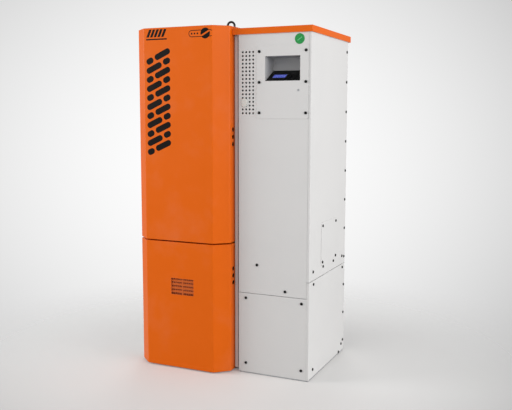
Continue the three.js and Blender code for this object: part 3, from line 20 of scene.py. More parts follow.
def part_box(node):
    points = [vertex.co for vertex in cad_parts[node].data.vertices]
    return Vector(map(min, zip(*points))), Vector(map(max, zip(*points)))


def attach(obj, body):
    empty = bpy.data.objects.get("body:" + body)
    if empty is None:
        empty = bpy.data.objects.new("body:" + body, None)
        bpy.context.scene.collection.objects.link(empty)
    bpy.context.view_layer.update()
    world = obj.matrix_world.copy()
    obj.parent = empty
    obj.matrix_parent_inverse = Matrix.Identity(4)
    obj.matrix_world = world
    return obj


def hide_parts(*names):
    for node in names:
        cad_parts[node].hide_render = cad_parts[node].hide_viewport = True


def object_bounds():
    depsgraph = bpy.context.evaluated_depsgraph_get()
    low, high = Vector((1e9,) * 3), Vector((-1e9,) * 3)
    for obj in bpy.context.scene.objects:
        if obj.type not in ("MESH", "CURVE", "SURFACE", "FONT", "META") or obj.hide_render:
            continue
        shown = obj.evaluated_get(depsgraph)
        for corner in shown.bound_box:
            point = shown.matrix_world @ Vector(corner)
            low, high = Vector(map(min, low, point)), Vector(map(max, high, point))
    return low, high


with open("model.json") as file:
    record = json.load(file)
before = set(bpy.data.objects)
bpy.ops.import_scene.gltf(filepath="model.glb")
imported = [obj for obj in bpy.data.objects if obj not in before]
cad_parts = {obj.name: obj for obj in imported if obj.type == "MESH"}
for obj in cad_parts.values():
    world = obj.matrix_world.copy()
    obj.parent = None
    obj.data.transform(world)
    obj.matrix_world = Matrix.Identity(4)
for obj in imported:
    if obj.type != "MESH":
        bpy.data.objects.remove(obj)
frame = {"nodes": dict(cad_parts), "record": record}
cad_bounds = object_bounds()
print("the CAD box in metres:", [tuple(round(v, 3) for v in corner) for corner in cad_bounds])

# %% [markdown]
# The drawing's own numbers are millimetres from the boiler's left side, the hopper's front face and the
# floor. The row frame has its origin in the middle of the base. One function turns the first into the
# second, so that every size below can be read as it would be on the drawing. Another one reads where a
# CAD node is, in the drawing's millimetres, because new pieces take their places from the nodes.

# %% From the drawing's millimetres to the row frame, and back
MM = 1000
DOOR_FRONT = -77.0
WIDTH, DEPTH, _ = (cad_bounds[1] - cad_bounds[0]) * MM
CENTRE_X = round(WIDTH / 2, 2)
CENTRE_Y = round(DOOR_FRONT + DEPTH / 2, 2)


def place(x, y, z):
    return Vector(((x - CENTRE_X) / MM, (y - CENTRE_Y) / MM, z / MM))


def drawn_box(node):
    """A CAD node's lowest and highest corner, to a hundredth of a millimetre."""
    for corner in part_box(node):
        yield [round(part * MM + shift, 2) for part, shift in zip(corner, (CENTRE_X, CENTRE_Y, 0.0))]


print("the boiler's front left corner on the floor:", tuple(round(v, 3) for v in place(0, 0, 0)))
print("the upper door on the drawing:", *drawn_box("upper_door"))

# %% [markdown]
# ## Shader maths
#
# A procedural material is arithmetic on coordinates. Written as Math nodes by hand, it soon becomes
# hard to read. This small class holds one socket of a node tree and lets Python's operators add the
# Math nodes, so that a mask can be written as it would be on paper. Comparisons give 1 or 0.

# %% A class for shader values
MIX_FACTOR, MIX_FIRST, MIX_SECOND, MIX_RESULT = 0, 6, 7, 2


class Value:
    """One output socket. Operators on it add Math nodes to its tree."""

    def __init__(self, socket):
        self.socket = socket

    def node(self, kind, settings, *inputs, output=0, **named):
        """Adds any node to the tree: its settings first, and then its inputs in order or by name."""
        made = self.socket.id_data.nodes.new(kind)
        for key, value in settings.items():
            setattr(made, key, value)
        for socket, value in [*enumerate(inputs), *named.items()]:
            connect(made.inputs[socket], value)
        return Value(made.outputs[output])

    def math(self, operation, *others):
        return self.node("ShaderNodeMath", {"operation": operation}, self, *others)

    def scaled(self, factors):
        return self.node("ShaderNodeVectorMath", {"operation": "MULTIPLY"}, self, factors)

    def dot(self, direction):
        return self.node("ShaderNodeVectorMath", {"operation": "DOT_PRODUCT"}, self, direction, output=1)

    def noise(self, scale, detail=2.0, roughness=0.5):
        return self.node(
            "ShaderNodeTexNoise", {}, Vector=self, Scale=scale, Detail=detail, Roughness=roughness)

    def mix(self, first, second):
        """This value is the factor between two colours."""
        made = self.socket.id_data.nodes.new("ShaderNodeMix")
        made.data_type = "RGBA"
        for index, value in ((MIX_FACTOR, self), (MIX_FIRST, first), (MIX_SECOND, second)):
            connect(made.inputs[index], value)
        return Value(made.outputs[MIX_RESULT])

    def ramp(self, low, high, to_low=0.0, to_high=1.0):
        """Maps the range from low to high onto another, and stops at its ends."""
        return self.node("ShaderNodeMapRange", {}, self, low, high, to_low, to_high)

    def __add__(self, other): return self.math("ADD", other)
    def __sub__(self, other): return self.math("SUBTRACT", other)
    def __mul__(self, other): return self.math("MULTIPLY", other)
    def __truediv__(self, other): return self.math("DIVIDE", other)
    def __lt__(self, other): return self.math("LESS_THAN", other)
    def __gt__(self, other): return self.math("GREATER_THAN", other)
    def __abs__(self): return self.math("ABSOLUTE")
    def __neg__(self): return self.math("MULTIPLY", -1.0)
    def __rsub__(self, other): return -self + other

    __radd__ = __add__
    __rmul__ = __mul__


def connect(socket, value):
    if isinstance(value, Value):
        socket.id_data.links.new(value.socket, socket)
    elif hasattr(value, "__len__") and len(value) == 3 and len(socket.default_value) == 4:
        socket.default_value = (*value, 1.0)
    else:
        socket.default_value = value


# %% [markdown]
# Every material starts the same way: a Principled shader and the point on the object, in metres. The
# CAD nodes' objects sit at the origin, so that Object coordinates are the row frame, and a door takes
# its paint along when it swings. A colour is written as it looks, and turned into linear light here.

# %% Starting a material
def colour(red, green, blue):
    """A colour as seen, from 0 to 255 each, in linear light."""
    parts = [value / 255 for value in (red, green, blue)]
    return tuple(v / 12.92 if v <= 0.04045 else ((v + 0.055) / 1.055) ** 2.4 for v in parts)


MATERIALS = {}
BEVEL_SAMPLES = 4
EDGE_GAIN = 4.0


class Surface:
    """A material with its Principled shader, and the object's own coordinates."""

    def __init__(self, name, base, roughness, metallic=0.0, gloss=0.5):
        self.material = bpy.data.materials.new(name)
        self.material.use_nodes = True
        tree = self.material.node_tree
        self.shader = tree.nodes["Principled BSDF"]
        self.point = Value(tree.nodes.new("ShaderNodeTexCoord").outputs["Object"])
        self.geometry = tree.nodes.new("ShaderNodeNewGeometry")
        self.set("Base Color", base)
        self.set("Roughness", roughness)
        self.set("Metallic", metallic)
        self.set("Specular IOR Level", gloss)
        MATERIALS[name] = self.material

    def set(self, name, value):
        connect(self.shader.inputs[name], value)

    def axes(self):
        """The three coordinates, in the drawing's millimetres."""
        made = self.shader.id_data.nodes.new("ShaderNodeSeparateXYZ")
        connect(made.inputs[0], self.point)
        x, y, z = (Value(output) * MM for output in made.outputs)
        return x + CENTRE_X, y + CENTRE_Y, z

    def bump(self, height, distance, strength):
        """Distance is how far the surface rises, in metres, where the height goes from 0 to 1."""
        normal = self.point.node("ShaderNodeBump", {}, Height=height, Distance=distance, Strength=strength)
        self.set("Normal", normal)

    def edges(self, radius):
        """Near 1 on edges that are sharper than the radius, in metres, and 0 on flat faces."""
        rounded = self.point.node("ShaderNodeBevel", {"samples": BEVEL_SAMPLES}, radius)
        straight = Value(self.geometry.outputs["Normal"])
        return (1.0 - rounded.dot(straight)) * EDGE_GAIN


print("a mid grey in linear light:", [round(v, 3) for v in colour(128, 128, 128)])

# %% [markdown]
# ## Powder coat
#
# Powder coat is sprayed on as dust and melted in an oven. It flows together, but never fully: it keeps a
# fine unevenness called orange peel, about a millimetre or two from crest to crest. On sharp edges the
# film pulls thin and looks a little paler. Hands and dust make the gloss vary slowly over the panel. One
# flat colour would look like plastic, and a photograph of paint would repeat on panels this large, so
# noise of several sizes makes the colour, the gloss and the relief.

# %% Painted sheet
POWDER_GLOSS = 0.15
THIN_EDGE = 0.0012
PEEL_HEIGHT = 0.00006
ORANGE = colour(225, 99, 6)
ORANGE_ROUGHNESS = 0.38
WHITE = colour(213, 212, 211)
WHITE_ROUGHNESS = 0.45
CHALK = (1.0, 0.97, 0.93)
BLACK = (0.0, 0.0, 0.0)


def powder_coat(name, base, roughness):
    """Returns the surface and its colour, for a print that goes on top."""
    surface = Surface(name, base, roughness, gloss=POWDER_GLOSS)
    slow = surface.point.noise(scale=3.0, detail=3.0)
    handled = surface.point.noise(scale=14.0, detail=4.0, roughness=0.6)
    patches = slow.ramp(0.3, 0.7, -0.014, 0.014) + handled.ramp(0.35, 0.65, -0.006, 0.006)
    tone = patches + surface.edges(THIN_EDGE).ramp(0.0, 1.0, 0.0, 0.16)
    paler = tone.math("MAXIMUM", 0.0).mix(base, CHALK)
    tinted = (0.0 - tone).math("MAXIMUM", 0.0).mix(paler, BLACK)
    surface.set("Base Color", tinted)
    surface.set("Roughness", handled.ramp(0.3, 0.7, roughness - 0.03, roughness + 0.05))
    fine = surface.point.noise(scale=620.0, detail=2.0, roughness=0.4)
    coarse = surface.point.noise(scale=190.0, detail=1.0)
    surface.bump(fine + coarse * 0.8, PEEL_HEIGHT, 0.55)
    return surface, tinted


powder_coat("orange_paint", ORANGE, ORANGE_ROUGHNESS)
powder_coat("white_paint", WHITE, WHITE_ROUGHNESS)
print("materials so far:", sorted(MATERIALS))

# %% [markdown]
# ## The print on the upper door
#
# The upper door carries black print of generic shapes: a tall field of slanted rounded bars, like falling
# pellets, with a row of slanted bars and a line above it, and beside that a pill with dots and a disc.
# A print is paint on paint, so it belongs in the material and not in the mesh. A capsule is all points
# nearer to a short line than its radius, which takes a few Math nodes.

# %% Printed shapes
def inside(u, v, left, right, bottom, top):
    """1 inside an upright rectangle."""
    return (u > left) * (u < right) * (v > bottom) * (v < top)


def capsule(u, v, centre, degrees, half, radius):
    """1 where a point is nearer than the radius to a line of half its length to each side of the centre."""
    across, up = u - centre[0], v - centre[1]
    c, s = math.cos(math.radians(degrees)), math.sin(math.radians(degrees))
    along = (abs(across * c + up * s) - half).math("MAXIMUM", 0.0)
    aside = up * c - across * s
    return (along * along + aside * aside) < radius * radius


def union(masks):
    whole = masks[0]
    for mask in masks[1:]:
        whole = whole.math("MAXIMUM", mask)
    return whole


# %% The field of pellets
PELLET_TILT = 24
PELLET_RADIUS = 13.5
PELLET_ROWS = 11
PELLET_PITCH = 40.2
PELLET_LEFT, PELLET_TOP = 76.0, 1416.0
PELLET_MIDDLE = 65.5
LONG, SHORT = 28.5, 5.5
EVEN_ROW = ((19.0, SHORT), (89.0, LONG))
ODD_ROW = ((42.0, LONG), (112.0, SHORT))


def pellets():
    """The centre and the half length of each bar. The long bar is on the right and on the left in turn."""
    slope = math.radians(PELLET_TILT)
    for row in range(PELLET_ROWS):
        for middle, half in ODD_ROW if row % 2 else EVEN_ROW:
            x = PELLET_LEFT + middle * math.cos(slope)
            z = PELLET_TOP - PELLET_PITCH * row + (middle - PELLET_MIDDLE) * math.sin(slope)
            yield (x, z), half


print("pellets in the print:", len(list(pellets())))

# %% The marks above the field
BAR_FOOT, BAR_TOP = 1500.0, 1534.0
BAR_WIDTH, BAR_PITCH, BARS = 13.0, 19.0, 5
BAR_LEAN = 0.45
# Left, right, foot and top of the line under the bars
LINE = (75.0, 182.0, 1488.0, 1494.0)
PILL = (350, 1508)
PILL_HALF, PILL_RADIUS, PILL_BORDER = 44.0, 15.0, 3.0
DOTS, DOT_RADIUS = ((306, 1508), (320, 1508), (334, 1508)), 4.0
DISC = (372, 1508)
DISC_RADIUS, DISC_GAP_TILT, DISC_GAP_RADIUS = 23.0, 28, 3.5
INK = colour(9, 4, 2)
INK_DEPTH = 0.8


def print_on_door(surface):
    x, y, z = surface.axes()
    field = union([capsule(x, z, centre, PELLET_TILT, half, PELLET_RADIUS) for centre, half in pellets()])
    slant = x - (z - BAR_FOOT) * BAR_LEAN
    lefts = [PELLET_LEFT + BAR_PITCH * bar for bar in range(BARS)]
    bars = union([inside(slant, z, left, left + BAR_WIDTH, BAR_FOOT, BAR_TOP) for left in lefts])
    line = inside(x, z, *LINE)
    inner = capsule(x, z, PILL, 0, PILL_HALF, PILL_RADIUS - PILL_BORDER)
    pill = capsule(x, z, PILL, 0, PILL_HALF, PILL_RADIUS) * (1.0 - inner)
    dots = union([capsule(x, z, centre, 0, 0.0, DOT_RADIUS) for centre in DOTS])
    gap = capsule(x, z, DISC, DISC_GAP_TILT, DISC_RADIUS + DISC_GAP_RADIUS, DISC_GAP_RADIUS)
    disc = capsule(x, z, DISC, 0, 0.0, DISC_RADIUS) * (1.0 - gap)
    return union([field, bars, line, pill, dots, disc]) * (y < DOOR_FRONT + INK_DEPTH)


printed, paint = powder_coat("orange_paint_printed", ORANGE, ORANGE_ROUGHNESS)
printed.set("Base Color", print_on_door(printed).mix(paint, INK))
print("bars above the field:", BARS)

# %% [markdown]
# ## Metals
#
# Inside and behind, the metal is bare or zinc coated. Hot-dip zinc freezes in flat crystals, called
# spangle, each a little darker or lighter. Photographs of metal could be wrapped around the pieces, but
# noise that is worked out at each point has no seams, and stays sharp from near. Voronoi cells make the
# spangle, and noise that is stretched along one axis makes the fine lines of rolled and turned metal.

# %% Zinc, bare steel and brass
STEEL_BUMP = 0.00003
ZINC_BUMP = 0.00005
SPANGLE_SCALE = 95.0


def zinc():
    surface = Surface("zinc_steel", colour(178, 181, 184), 0.34, metallic=1.0)
    cells = surface.point.node(
        "ShaderNodeTexVoronoi", {}, Vector=surface.point, Scale=SPANGLE_SCALE, output="Color")
    shade = cells.dot((0.4, 0.4, 0.2))
    surface.set("Base Color", shade.mix(colour(158, 162, 166), colour(196, 198, 200)))
    surface.set("Roughness", shade.ramp(0.0, 1.0, 0.28, 0.46))
    surface.bump(surface.point.noise(scale=260.0), ZINC_BUMP, 0.4)


def bare():
    surface = Surface("bare_steel", colour(150, 152, 155), 0.36, metallic=1.0)
    lines = surface.point.scaled((1.0, 1.0, 0.04)).noise(scale=900.0, detail=2.0)
    stain = surface.point.noise(scale=16.0, detail=4.0, roughness=0.6)
    surface.set("Base Color", stain.ramp(0.35, 0.7).mix(colour(158, 160, 163), colour(122, 121, 120)))
    surface.set("Roughness", lines.ramp(0.3, 0.7, 0.28, 0.45))
    surface.bump(lines, STEEL_BUMP, 0.5)


def turned_brass():
    surface = Surface("brass", colour(186, 148, 76), 0.3, metallic=1.0)
    rings = surface.point.scaled((0.05, 1.0, 0.05)).noise(scale=1400.0, detail=1.0)
    tarnish = surface.point.noise(scale=60.0, detail=3.0)
    surface.set("Base Color", tarnish.mix(colour(190, 152, 80), colour(150, 112, 52)))
    surface.set("Roughness", rings.ramp(0.3, 0.7, 0.24, 0.42))
    surface.bump(rings, STEEL_BUMP, 0.5)


zinc()
bare()
turned_brass()
print("materials so far:", len(MATERIALS))

# %% [markdown]
# Screws and brackets are blackened, which wears off first on their edges. Cast iron and the vessel's
# thick paint are rough from the sand mould or the brush, and dust settles on them in pale patches. A
# wear mask from the sharpness of the edges needs no painting by hand, and fits pieces of any shape.

# %% Blackened steel, cast iron and rough paint
def black_metal():
    surface = Surface("black_steel", colour(22, 20, 20), 0.42)
    worn = surface.edges(0.0008).ramp(0.25, 0.9, 0.0, 0.5)
    grain = surface.point.noise(scale=700.0, detail=2.0)
    surface.set("Base Color", worn.mix(colour(20, 18, 18), colour(92, 92, 94)))
    surface.set("Roughness", grain.ramp(0.3, 0.7, 0.34, 0.5))
    surface.bump(grain, 0.00004, 0.5)


def screw_black():
    surface = Surface("black_screws", colour(9, 9, 9), 0.5, gloss=0.25)
    worn = surface.edges(0.0005).ramp(0.5, 1.0, 0.0, 0.12)
    grain = surface.point.noise(scale=900.0, detail=2.0)
    surface.set("Base Color", worn.mix(colour(9, 9, 9), colour(70, 70, 72)))
    surface.set("Roughness", grain.ramp(0.3, 0.7, 0.42, 0.58))
    surface.bump(grain, STEEL_BUMP, 0.5)


def rough_coat(name, dark, light, grain_size, depth):
    surface = Surface(name, dark, 0.62, metallic=0.25)
    rough = surface.point.noise(scale=grain_size, detail=4.0, roughness=0.6)
    dust = surface.point.noise(scale=9.0, detail=4.0, roughness=0.6)
    surface.set("Base Color", dust.ramp(0.35, 0.7).mix(dark, light))
    surface.set("Roughness", rough.ramp(0.3, 0.7, 0.5, 0.72))
    surface.bump(rough, depth, 0.7)


black_metal()
screw_black()
rough_coat("cast_iron", colour(58, 56, 54), colour(86, 82, 78), grain_size=420.0, depth=0.0003)
rough_coat("vessel_paint", colour(52, 56, 62), colour(74, 76, 80), grain_size=300.0, depth=0.00012)
print("materials so far:", len(MATERIALS))

# %% [markdown]
# ## Plastics, wool, foam and hose
#
# Moulded plastic has a fine even grain that was etched into its mould. The insulation jacket is mineral
# wool, whose fibres lie mostly flat, so its noise is squeezed along one axis, with a soft lumpy noise
# added. The lid's seal is foam with open pores, and the feed hose is clear, with a spiral wound in.

# %% Plastics
WORN_PLASTIC = (0.35, 0.35, 0.35)
MOULD_GRAIN = 1500.0


def plastic(name, base, roughness, gloss=0.3):
    surface = Surface(name, base, roughness, gloss=gloss)
    speck = surface.point.noise(scale=MOULD_GRAIN, detail=2.0)
    wear = surface.edges(0.0008).ramp(0.2, 1.0, 0.0, 0.12)
    surface.set("Base Color", wear.mix(base, WORN_PLASTIC))
    surface.set("Roughness", speck.ramp(0.3, 0.7, roughness - 0.05, roughness + 0.08))
    surface.bump(speck, STEEL_BUMP, 0.5)


plastic("black_plastic", colour(9, 9, 10), 0.42, gloss=0.12)
plastic("grey_plastic", colour(214, 214, 210), 0.4)
plastic("red_plastic", colour(176, 34, 28), 0.3)
print("materials so far:", len(MATERIALS))

# %% Wool, foam and hose
# Radians in a millimetre along the hose
COIL_PHASE = 0.55


def wool():
    surface = Surface("mineral_wool", colour(186, 182, 160), 0.95)
    fibres = surface.point.scaled((1.0, 1.0, 0.25)).noise(scale=420.0, detail=5.0, roughness=0.7)
    clumps = surface.point.noise(scale=26.0, detail=4.0, roughness=0.6)
    shade = (fibres * 0.6 + clumps * 0.4).ramp(0.3, 0.7)
    surface.set("Base Color", shade.mix(colour(158, 150, 118), colour(206, 202, 182)))
    surface.bump(fibres + clumps, 0.0012, 0.8)


def porous(name, base, roughness, pore_scale, dark, light, depth):
    """Foam or felt: each open pore is a dark cell."""
    surface = Surface(name, base, roughness)
    pores = surface.point.node("ShaderNodeTexVoronoi", {}, Vector=surface.point, Scale=pore_scale)
    surface.set("Base Color", pores.ramp(0.0, 0.6).mix(dark, light))
    surface.bump(pores, depth, 0.6)


def hose():
    surface = Surface("clear_hose", colour(190, 198, 198), 0.28)
    x, _, z = surface.axes()
    coils = ((x + z) * COIL_PHASE).math("SINE")
    surface.set("Base Color", coils.ramp(-1.0, 1.0).mix(colour(150, 160, 160), colour(206, 212, 212)))
    surface.set("Roughness", coils.ramp(-1.0, 1.0, 0.2, 0.4))
    surface.bump(coils, 0.0008, 0.6)


wool()
porous("foam_rubber", colour(38, 38, 38), 0.85, 900.0, colour(24, 24, 24), colour(50, 50, 50), 0.0003)
hose()
print("materials so far:", len(MATERIALS))

# %% [markdown]
# ## The display
#
# The controller's display is a blue backlit panel behind a dark window, with rows of pale character
# cells. They are only cells of dots: no words. A picture could be pasted on, but the cells follow from
# a few divisions, and they stay sharp. The display lies on a slope, so a place on it is measured across
# and up the slope. A cell's row and column pick its random number, which lights it or leaves it dark.

# %% A backlit display
SLOPE = math.radians(27.0)
DISPLAY_LEFT, DISPLAY_FOOT = 636.3, 27.0
RECESS_FLOOR = 1304.0
# Left, right, foot and top on the slope, of the lit field and of its rows of cells
LIT = (4.0, 62.0, 6.0, 36.0)
TEXT = (7.0, 59.0, 9.0, 33.5)
CELL_WIDTH, CELL_HEIGHT = 3.3, 6.2
CELL_FILL_ACROSS, CELL_FILL_UP = 0.74, 0.7
DOTS_ACROSS, DOTS_UP, DOT_FILL = 1.9, 1.7, 0.72
DARK_SHARE = 0.42
GLOW = 0.55


def display():
    surface = Surface("display_glass", colour(10, 12, 30), 0.12)
    x, y, z = surface.axes()
    u = x - DISPLAY_LEFT
    v = (y * math.cos(SLOPE) + (z - RECESS_FLOOR) * math.sin(SLOPE)) - DISPLAY_FOOT
    column, row = (u - TEXT[0]) / CELL_WIDTH, (v - TEXT[2]) / CELL_HEIGHT
    cell = column.node("ShaderNodeCombineXYZ", {}, column.math("FLOOR"), row.math("FLOOR"), 0.0)
    shown = cell.node("ShaderNodeTexWhiteNoise", {}, Vector=cell) > DARK_SHARE
    letter = (column.math("FRACT") < CELL_FILL_ACROSS) * (row.math("FRACT") < CELL_FILL_UP)
    dots = ((u * DOTS_ACROSS).math("FRACT") < DOT_FILL) * ((v * DOTS_UP).math("FRACT") < DOT_FILL)
    text = shown * letter * dots * inside(u, v, *TEXT)
    lit = inside(u, v, *LIT)
    glow = text.mix(colour(70, 88, 214), colour(190, 205, 255))
    surface.set("Base Color", lit.mix(colour(8, 9, 16), colour(30, 38, 120)))
    surface.set("Emission Color", lit.mix(BLACK, glow))
    surface.set("Emission Strength", GLOW)
    surface.set("Coat Weight", 0.3)


display()
print("materials so far:", len(MATERIALS))

# %% [markdown]
# ## Edges that catch the light
#
# No real edge is perfectly sharp, and the thin bright line along a sheet's edge is much of what makes
# it look like metal. The CAD nodes keep their shape. Modifiers weld the imported corners together,
# merge the triangles of each flat face, round the edges by less than a millimetre, and weight the
# normals so that large faces stay flat.

# %% Finishing the CAD nodes
WELD_DISTANCE = 0.00002
FLAT_ANGLE = math.radians(1.0)
EDGE_ANGLE = math.radians(38.0)
EDGE_SEGMENTS = 2
SHEET_EDGE = 0.0004
BUTTON_EDGE = 0.0012
EDGE_WIDTHS = {
    "hopper_lid": 0.0009, "control_plate": 0.0005, "controller": 0.0008,
    "gear_motor": 0.003, "burner": 0.001, "cover_knob": 0.002, "insulation_jacket": 0.004,
    **{f"button_{number}": BUTTON_EDGE for number in (1, 2, 3, 4)},
}


def weighted_normals(obj):
    weighted = obj.modifiers.new("weighted", "WEIGHTED_NORMAL")
    weighted.keep_sharp = True


def soften(obj, width):
    mesh = obj.data
    if "custom_normal" in mesh.attributes:
        mesh.attributes.remove(mesh.attributes["custom_normal"])
    mesh.shade_smooth()
    weld = obj.modifiers.new("weld", "WELD")
    weld.merge_threshold = WELD_DISTANCE
    flat = obj.modifiers.new("flat", "DECIMATE")
    flat.decimate_type = "DISSOLVE"
    flat.angle_limit = FLAT_ANGLE
    bevel = obj.modifiers.new("edge", "BEVEL")
    bevel.width = width
    bevel.segments = EDGE_SEGMENTS
    bevel.limit_method = "ANGLE"
    bevel.angle_limit = EDGE_ANGLE
    weighted_normals(obj)


def paint_with(mesh, material):
    mesh.materials.clear()
    mesh.materials.append(MATERIALS[material])
    for polygon in mesh.polygons:
        polygon.material_index = 0


# Painted shade: the inside of the recess gets a grey paint, darker than the white panels, for the shade that
# falls in it.
powder_coat("recess_painted_shade", colour(186, 186, 186), 0.55)
slots = {entry["node"]: entry["material_slot"] for entry in frame["record"]["subparts"]}
for node, slot in slots.items():
    paint_with(frame["nodes"][node].data, "recess_painted_shade" if node == "recess_box" else slot)
    soften(frame["nodes"][node], EDGE_WIDTHS.get(node, SHEET_EDGE))
print("CAD nodes dressed:", len(slots))

# %% [markdown]
# ## Tools for new pieces
#
# New pieces start as closed solids: an outline with rounded corners is pushed along an axis. Booleans
# cut the hollows and holes, as a laser cuts a sheet. Faces could be placed one by one instead, but then
# each hole would have to be fitted into the faces round it. Each piece is then a plain mesh with smooth
# shading and sharp creases where faces meet at an angle.

# %% Outlines
def arcs(corners, steps=8):
    """Corners of (u, v, radius), with an arc at each that has a radius."""
    points = []
    for index, (u, v, radius) in enumerate(corners):
        corner = Vector((u, v))
        if not radius:
            points.append((u, v))
            continue
        before = (Vector(corners[index - 1][:2]) - corner).normalized()
        after = (Vector(corners[(index + 1) % len(corners)][:2]) - corner).normalized()
        half = before.angle(after) / 2
        centre = corner + (before + after).normalized() * (radius / math.sin(half))
        first = corner + before * (radius / math.tan(half)) - centre
        last = corner + after * (radius / math.tan(half)) - centre
        turn = first.angle_signed(last)
        for step in range(steps + 1):
            point = Matrix.Rotation(-turn * step / steps, 2) @ first + centre
            points.append((point.x, point.y))
    return points


def angles(count):
    return [2 * math.pi * k / count for k in range(count)]


def circle(u, v, radius, sides):
    return [(u + radius * math.cos(a), v + radius * math.sin(a)) for a in angles(sides)]


def rectangle(u0, v0, u1, v1):
    return [(u0, v0), (u1, v0), (u1, v1), (u0, v1)]


print("points of a square with round corners:", len(arcs([(u, v, 1) for u, v in rectangle(0, 0, 9, 9)])))

# %% Solids and objects
TURNS = {
    "x": lambda u, v, w: place(w, u, v),
    "y": lambda u, v, w: place(u, w, v),
    "z": lambda u, v, w: place(u, v, w),
    "own": lambda u, v, w: (u, v, w),
}


def prism(bm, axis, outline, low, high):
    """A closed solid in a bmesh: the outline is pushed along the axis from low to high."""
    at = TURNS[axis]
    bottom = [bm.verts.new(at(u, v, low)) for u, v in outline]
    top = [bm.verts.new(at(u, v, high)) for u, v in outline]
    made = [bm.faces.new(bottom), bm.faces.new(top)]
    for index in range(len(outline)):
        after = (index + 1) % len(outline)
        made.append(bm.faces.new((bottom[index], bottom[after], top[after], top[index])))
    bmesh.ops.recalc_face_normals(bm, faces=made)


def as_object(name, bm):
    mesh = bpy.data.meshes.new(name)
    bm.to_mesh(mesh)
    bm.free()
    obj = bpy.data.objects.new(name, mesh)
    bpy.context.scene.collection.objects.link(obj)
    return obj


def solid(name, shapes):
    """An object of several prisms: each is (axis, outline, low, high)."""
    bm = bmesh.new()
    for axis, outline, low, high in shapes:
        prism(bm, axis, outline, low, high)
    return as_object(name, bm)


# %% Modifiers that are applied at once
def apply_modifiers(obj):
    graph = bpy.context.evaluated_depsgraph_get()
    mesh = bpy.data.meshes.new_from_object(obj.evaluated_get(graph))
    obj.modifiers.clear()
    obj.data = mesh


def cut(obj, other):
    """Takes the other object's space away from this one."""
    modifier = obj.modifiers.new("cut", "BOOLEAN")
    modifier.operation = "DIFFERENCE"
    modifier.solver = "EXACT"
    modifier.object = other
    apply_modifiers(obj)
    bpy.data.objects.remove(other)


def round_edges(obj, width, segments, chosen):
    """Rounds the edges for which chosen(edge's two points) is true."""
    weights = obj.data.attributes.new("bevel_weight_edge", "FLOAT", "EDGE")
    points = [vertex.co for vertex in obj.data.vertices]
    for edge in obj.data.edges:
        first, second = (points[index] for index in edge.vertices)
        weights.data[edge.index].value = 1.0 if chosen(first, second) else 0.0
    bevel = obj.modifiers.new("round", "BEVEL")
    bevel.limit_method = "WEIGHT"
    bevel.width = width
    bevel.segments = segments
    apply_modifiers(obj)


# %% Finishing a new piece
ROUND_THING = 40.0
WIRY_THING = 50.0


def finish_piece(obj, body, slot, material=None, sharp=30.0, stands_for=None):
    """Smooth shading with creases, a material, and the CAD body that the piece rides on."""
    mesh = obj.data
    mesh.shade_smooth()
    mesh.set_sharp_from_angle(angle=math.radians(sharp))
    weighted_normals(obj)
    paint_with(mesh, material or slot)
    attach(obj, body)
    if stands_for:
        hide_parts(stands_for)
    print(f"{obj.name}: {len(mesh.polygons)} faces")


# %% [markdown]
# ## The doors
#
# Each door is one deep tray: a sheet bent four times, so that its front stands between two slanted
# sides, with end plates welded on and ground round. A flat plane with a Solidify modifier would give
# the sheet's thickness, but not the welded ends, so a full block is hollowed out instead. The bends are
# made of nine short faces each, which smooth shading turns into a clean cylinder. On the right return
# there are three finger holes, and on the left small notches and holes for the hinges.

# %% The doors' sizes
SHEET = 2.0
OVERRUN = 1.0
BEHIND = 3.0
(DOOR_LEFT, _, UPPER_FOOT), (DOOR_RIGHT, DOOR_REAR, UPPER_TOP) = drawn_box("upper_door")
(_, _, LOWER_FOOT), (_, _, LOWER_TOP) = drawn_box("lower_door")
BEND_STEPS = 9
BEND = 10.0
SLANT_WIDTH, SLANT_DEPTH = 61.0, 55.0
INNER_SLANT_WIDTH, INNER_SLANT_DEPTH = 59.8, 53.9
END_ROUNDING = 0.0022
END_STEPS = 4
SAME_HEIGHT = 1e-6
UPPER_FINGERS, LOWER_FINGERS = 1064.0, 442.0
FINGER_Y, FINGER_PITCH, FINGER_RADIUS, FINGER_SIDES = 6.0, 32.0, 10.5, 36
PIN_X, PIN_Y, PIN_HOLE_RADIUS, PIN_HOLE_SIDES = 8.0, 16.0, 4.4, 24
NOTCH_FRONT, NOTCH_REAR, NOTCH_HEIGHT = 6.0, 30.0, 5.3
print("upper door from", UPPER_FOOT, "to", UPPER_TOP, "and lower door from", LOWER_FOOT, "to", LOWER_TOP)

# %% Bending, hollowing and punching a door
def tray(inset, rear, slant_width, slant_depth, bend):
    """The door's outline from above. The inset moves it in by the sheet's thickness."""
    left, right, front = DOOR_LEFT + inset, DOOR_RIGHT - inset, DOOR_FRONT + inset
    corner = front + slant_depth
    return arcs([
        (left, rear, 0), (left, corner, bend), (left + slant_width, front, bend),
        (right - slant_width, front, bend), (right, corner, bend), (right, rear, 0),
    ], BEND_STEPS)


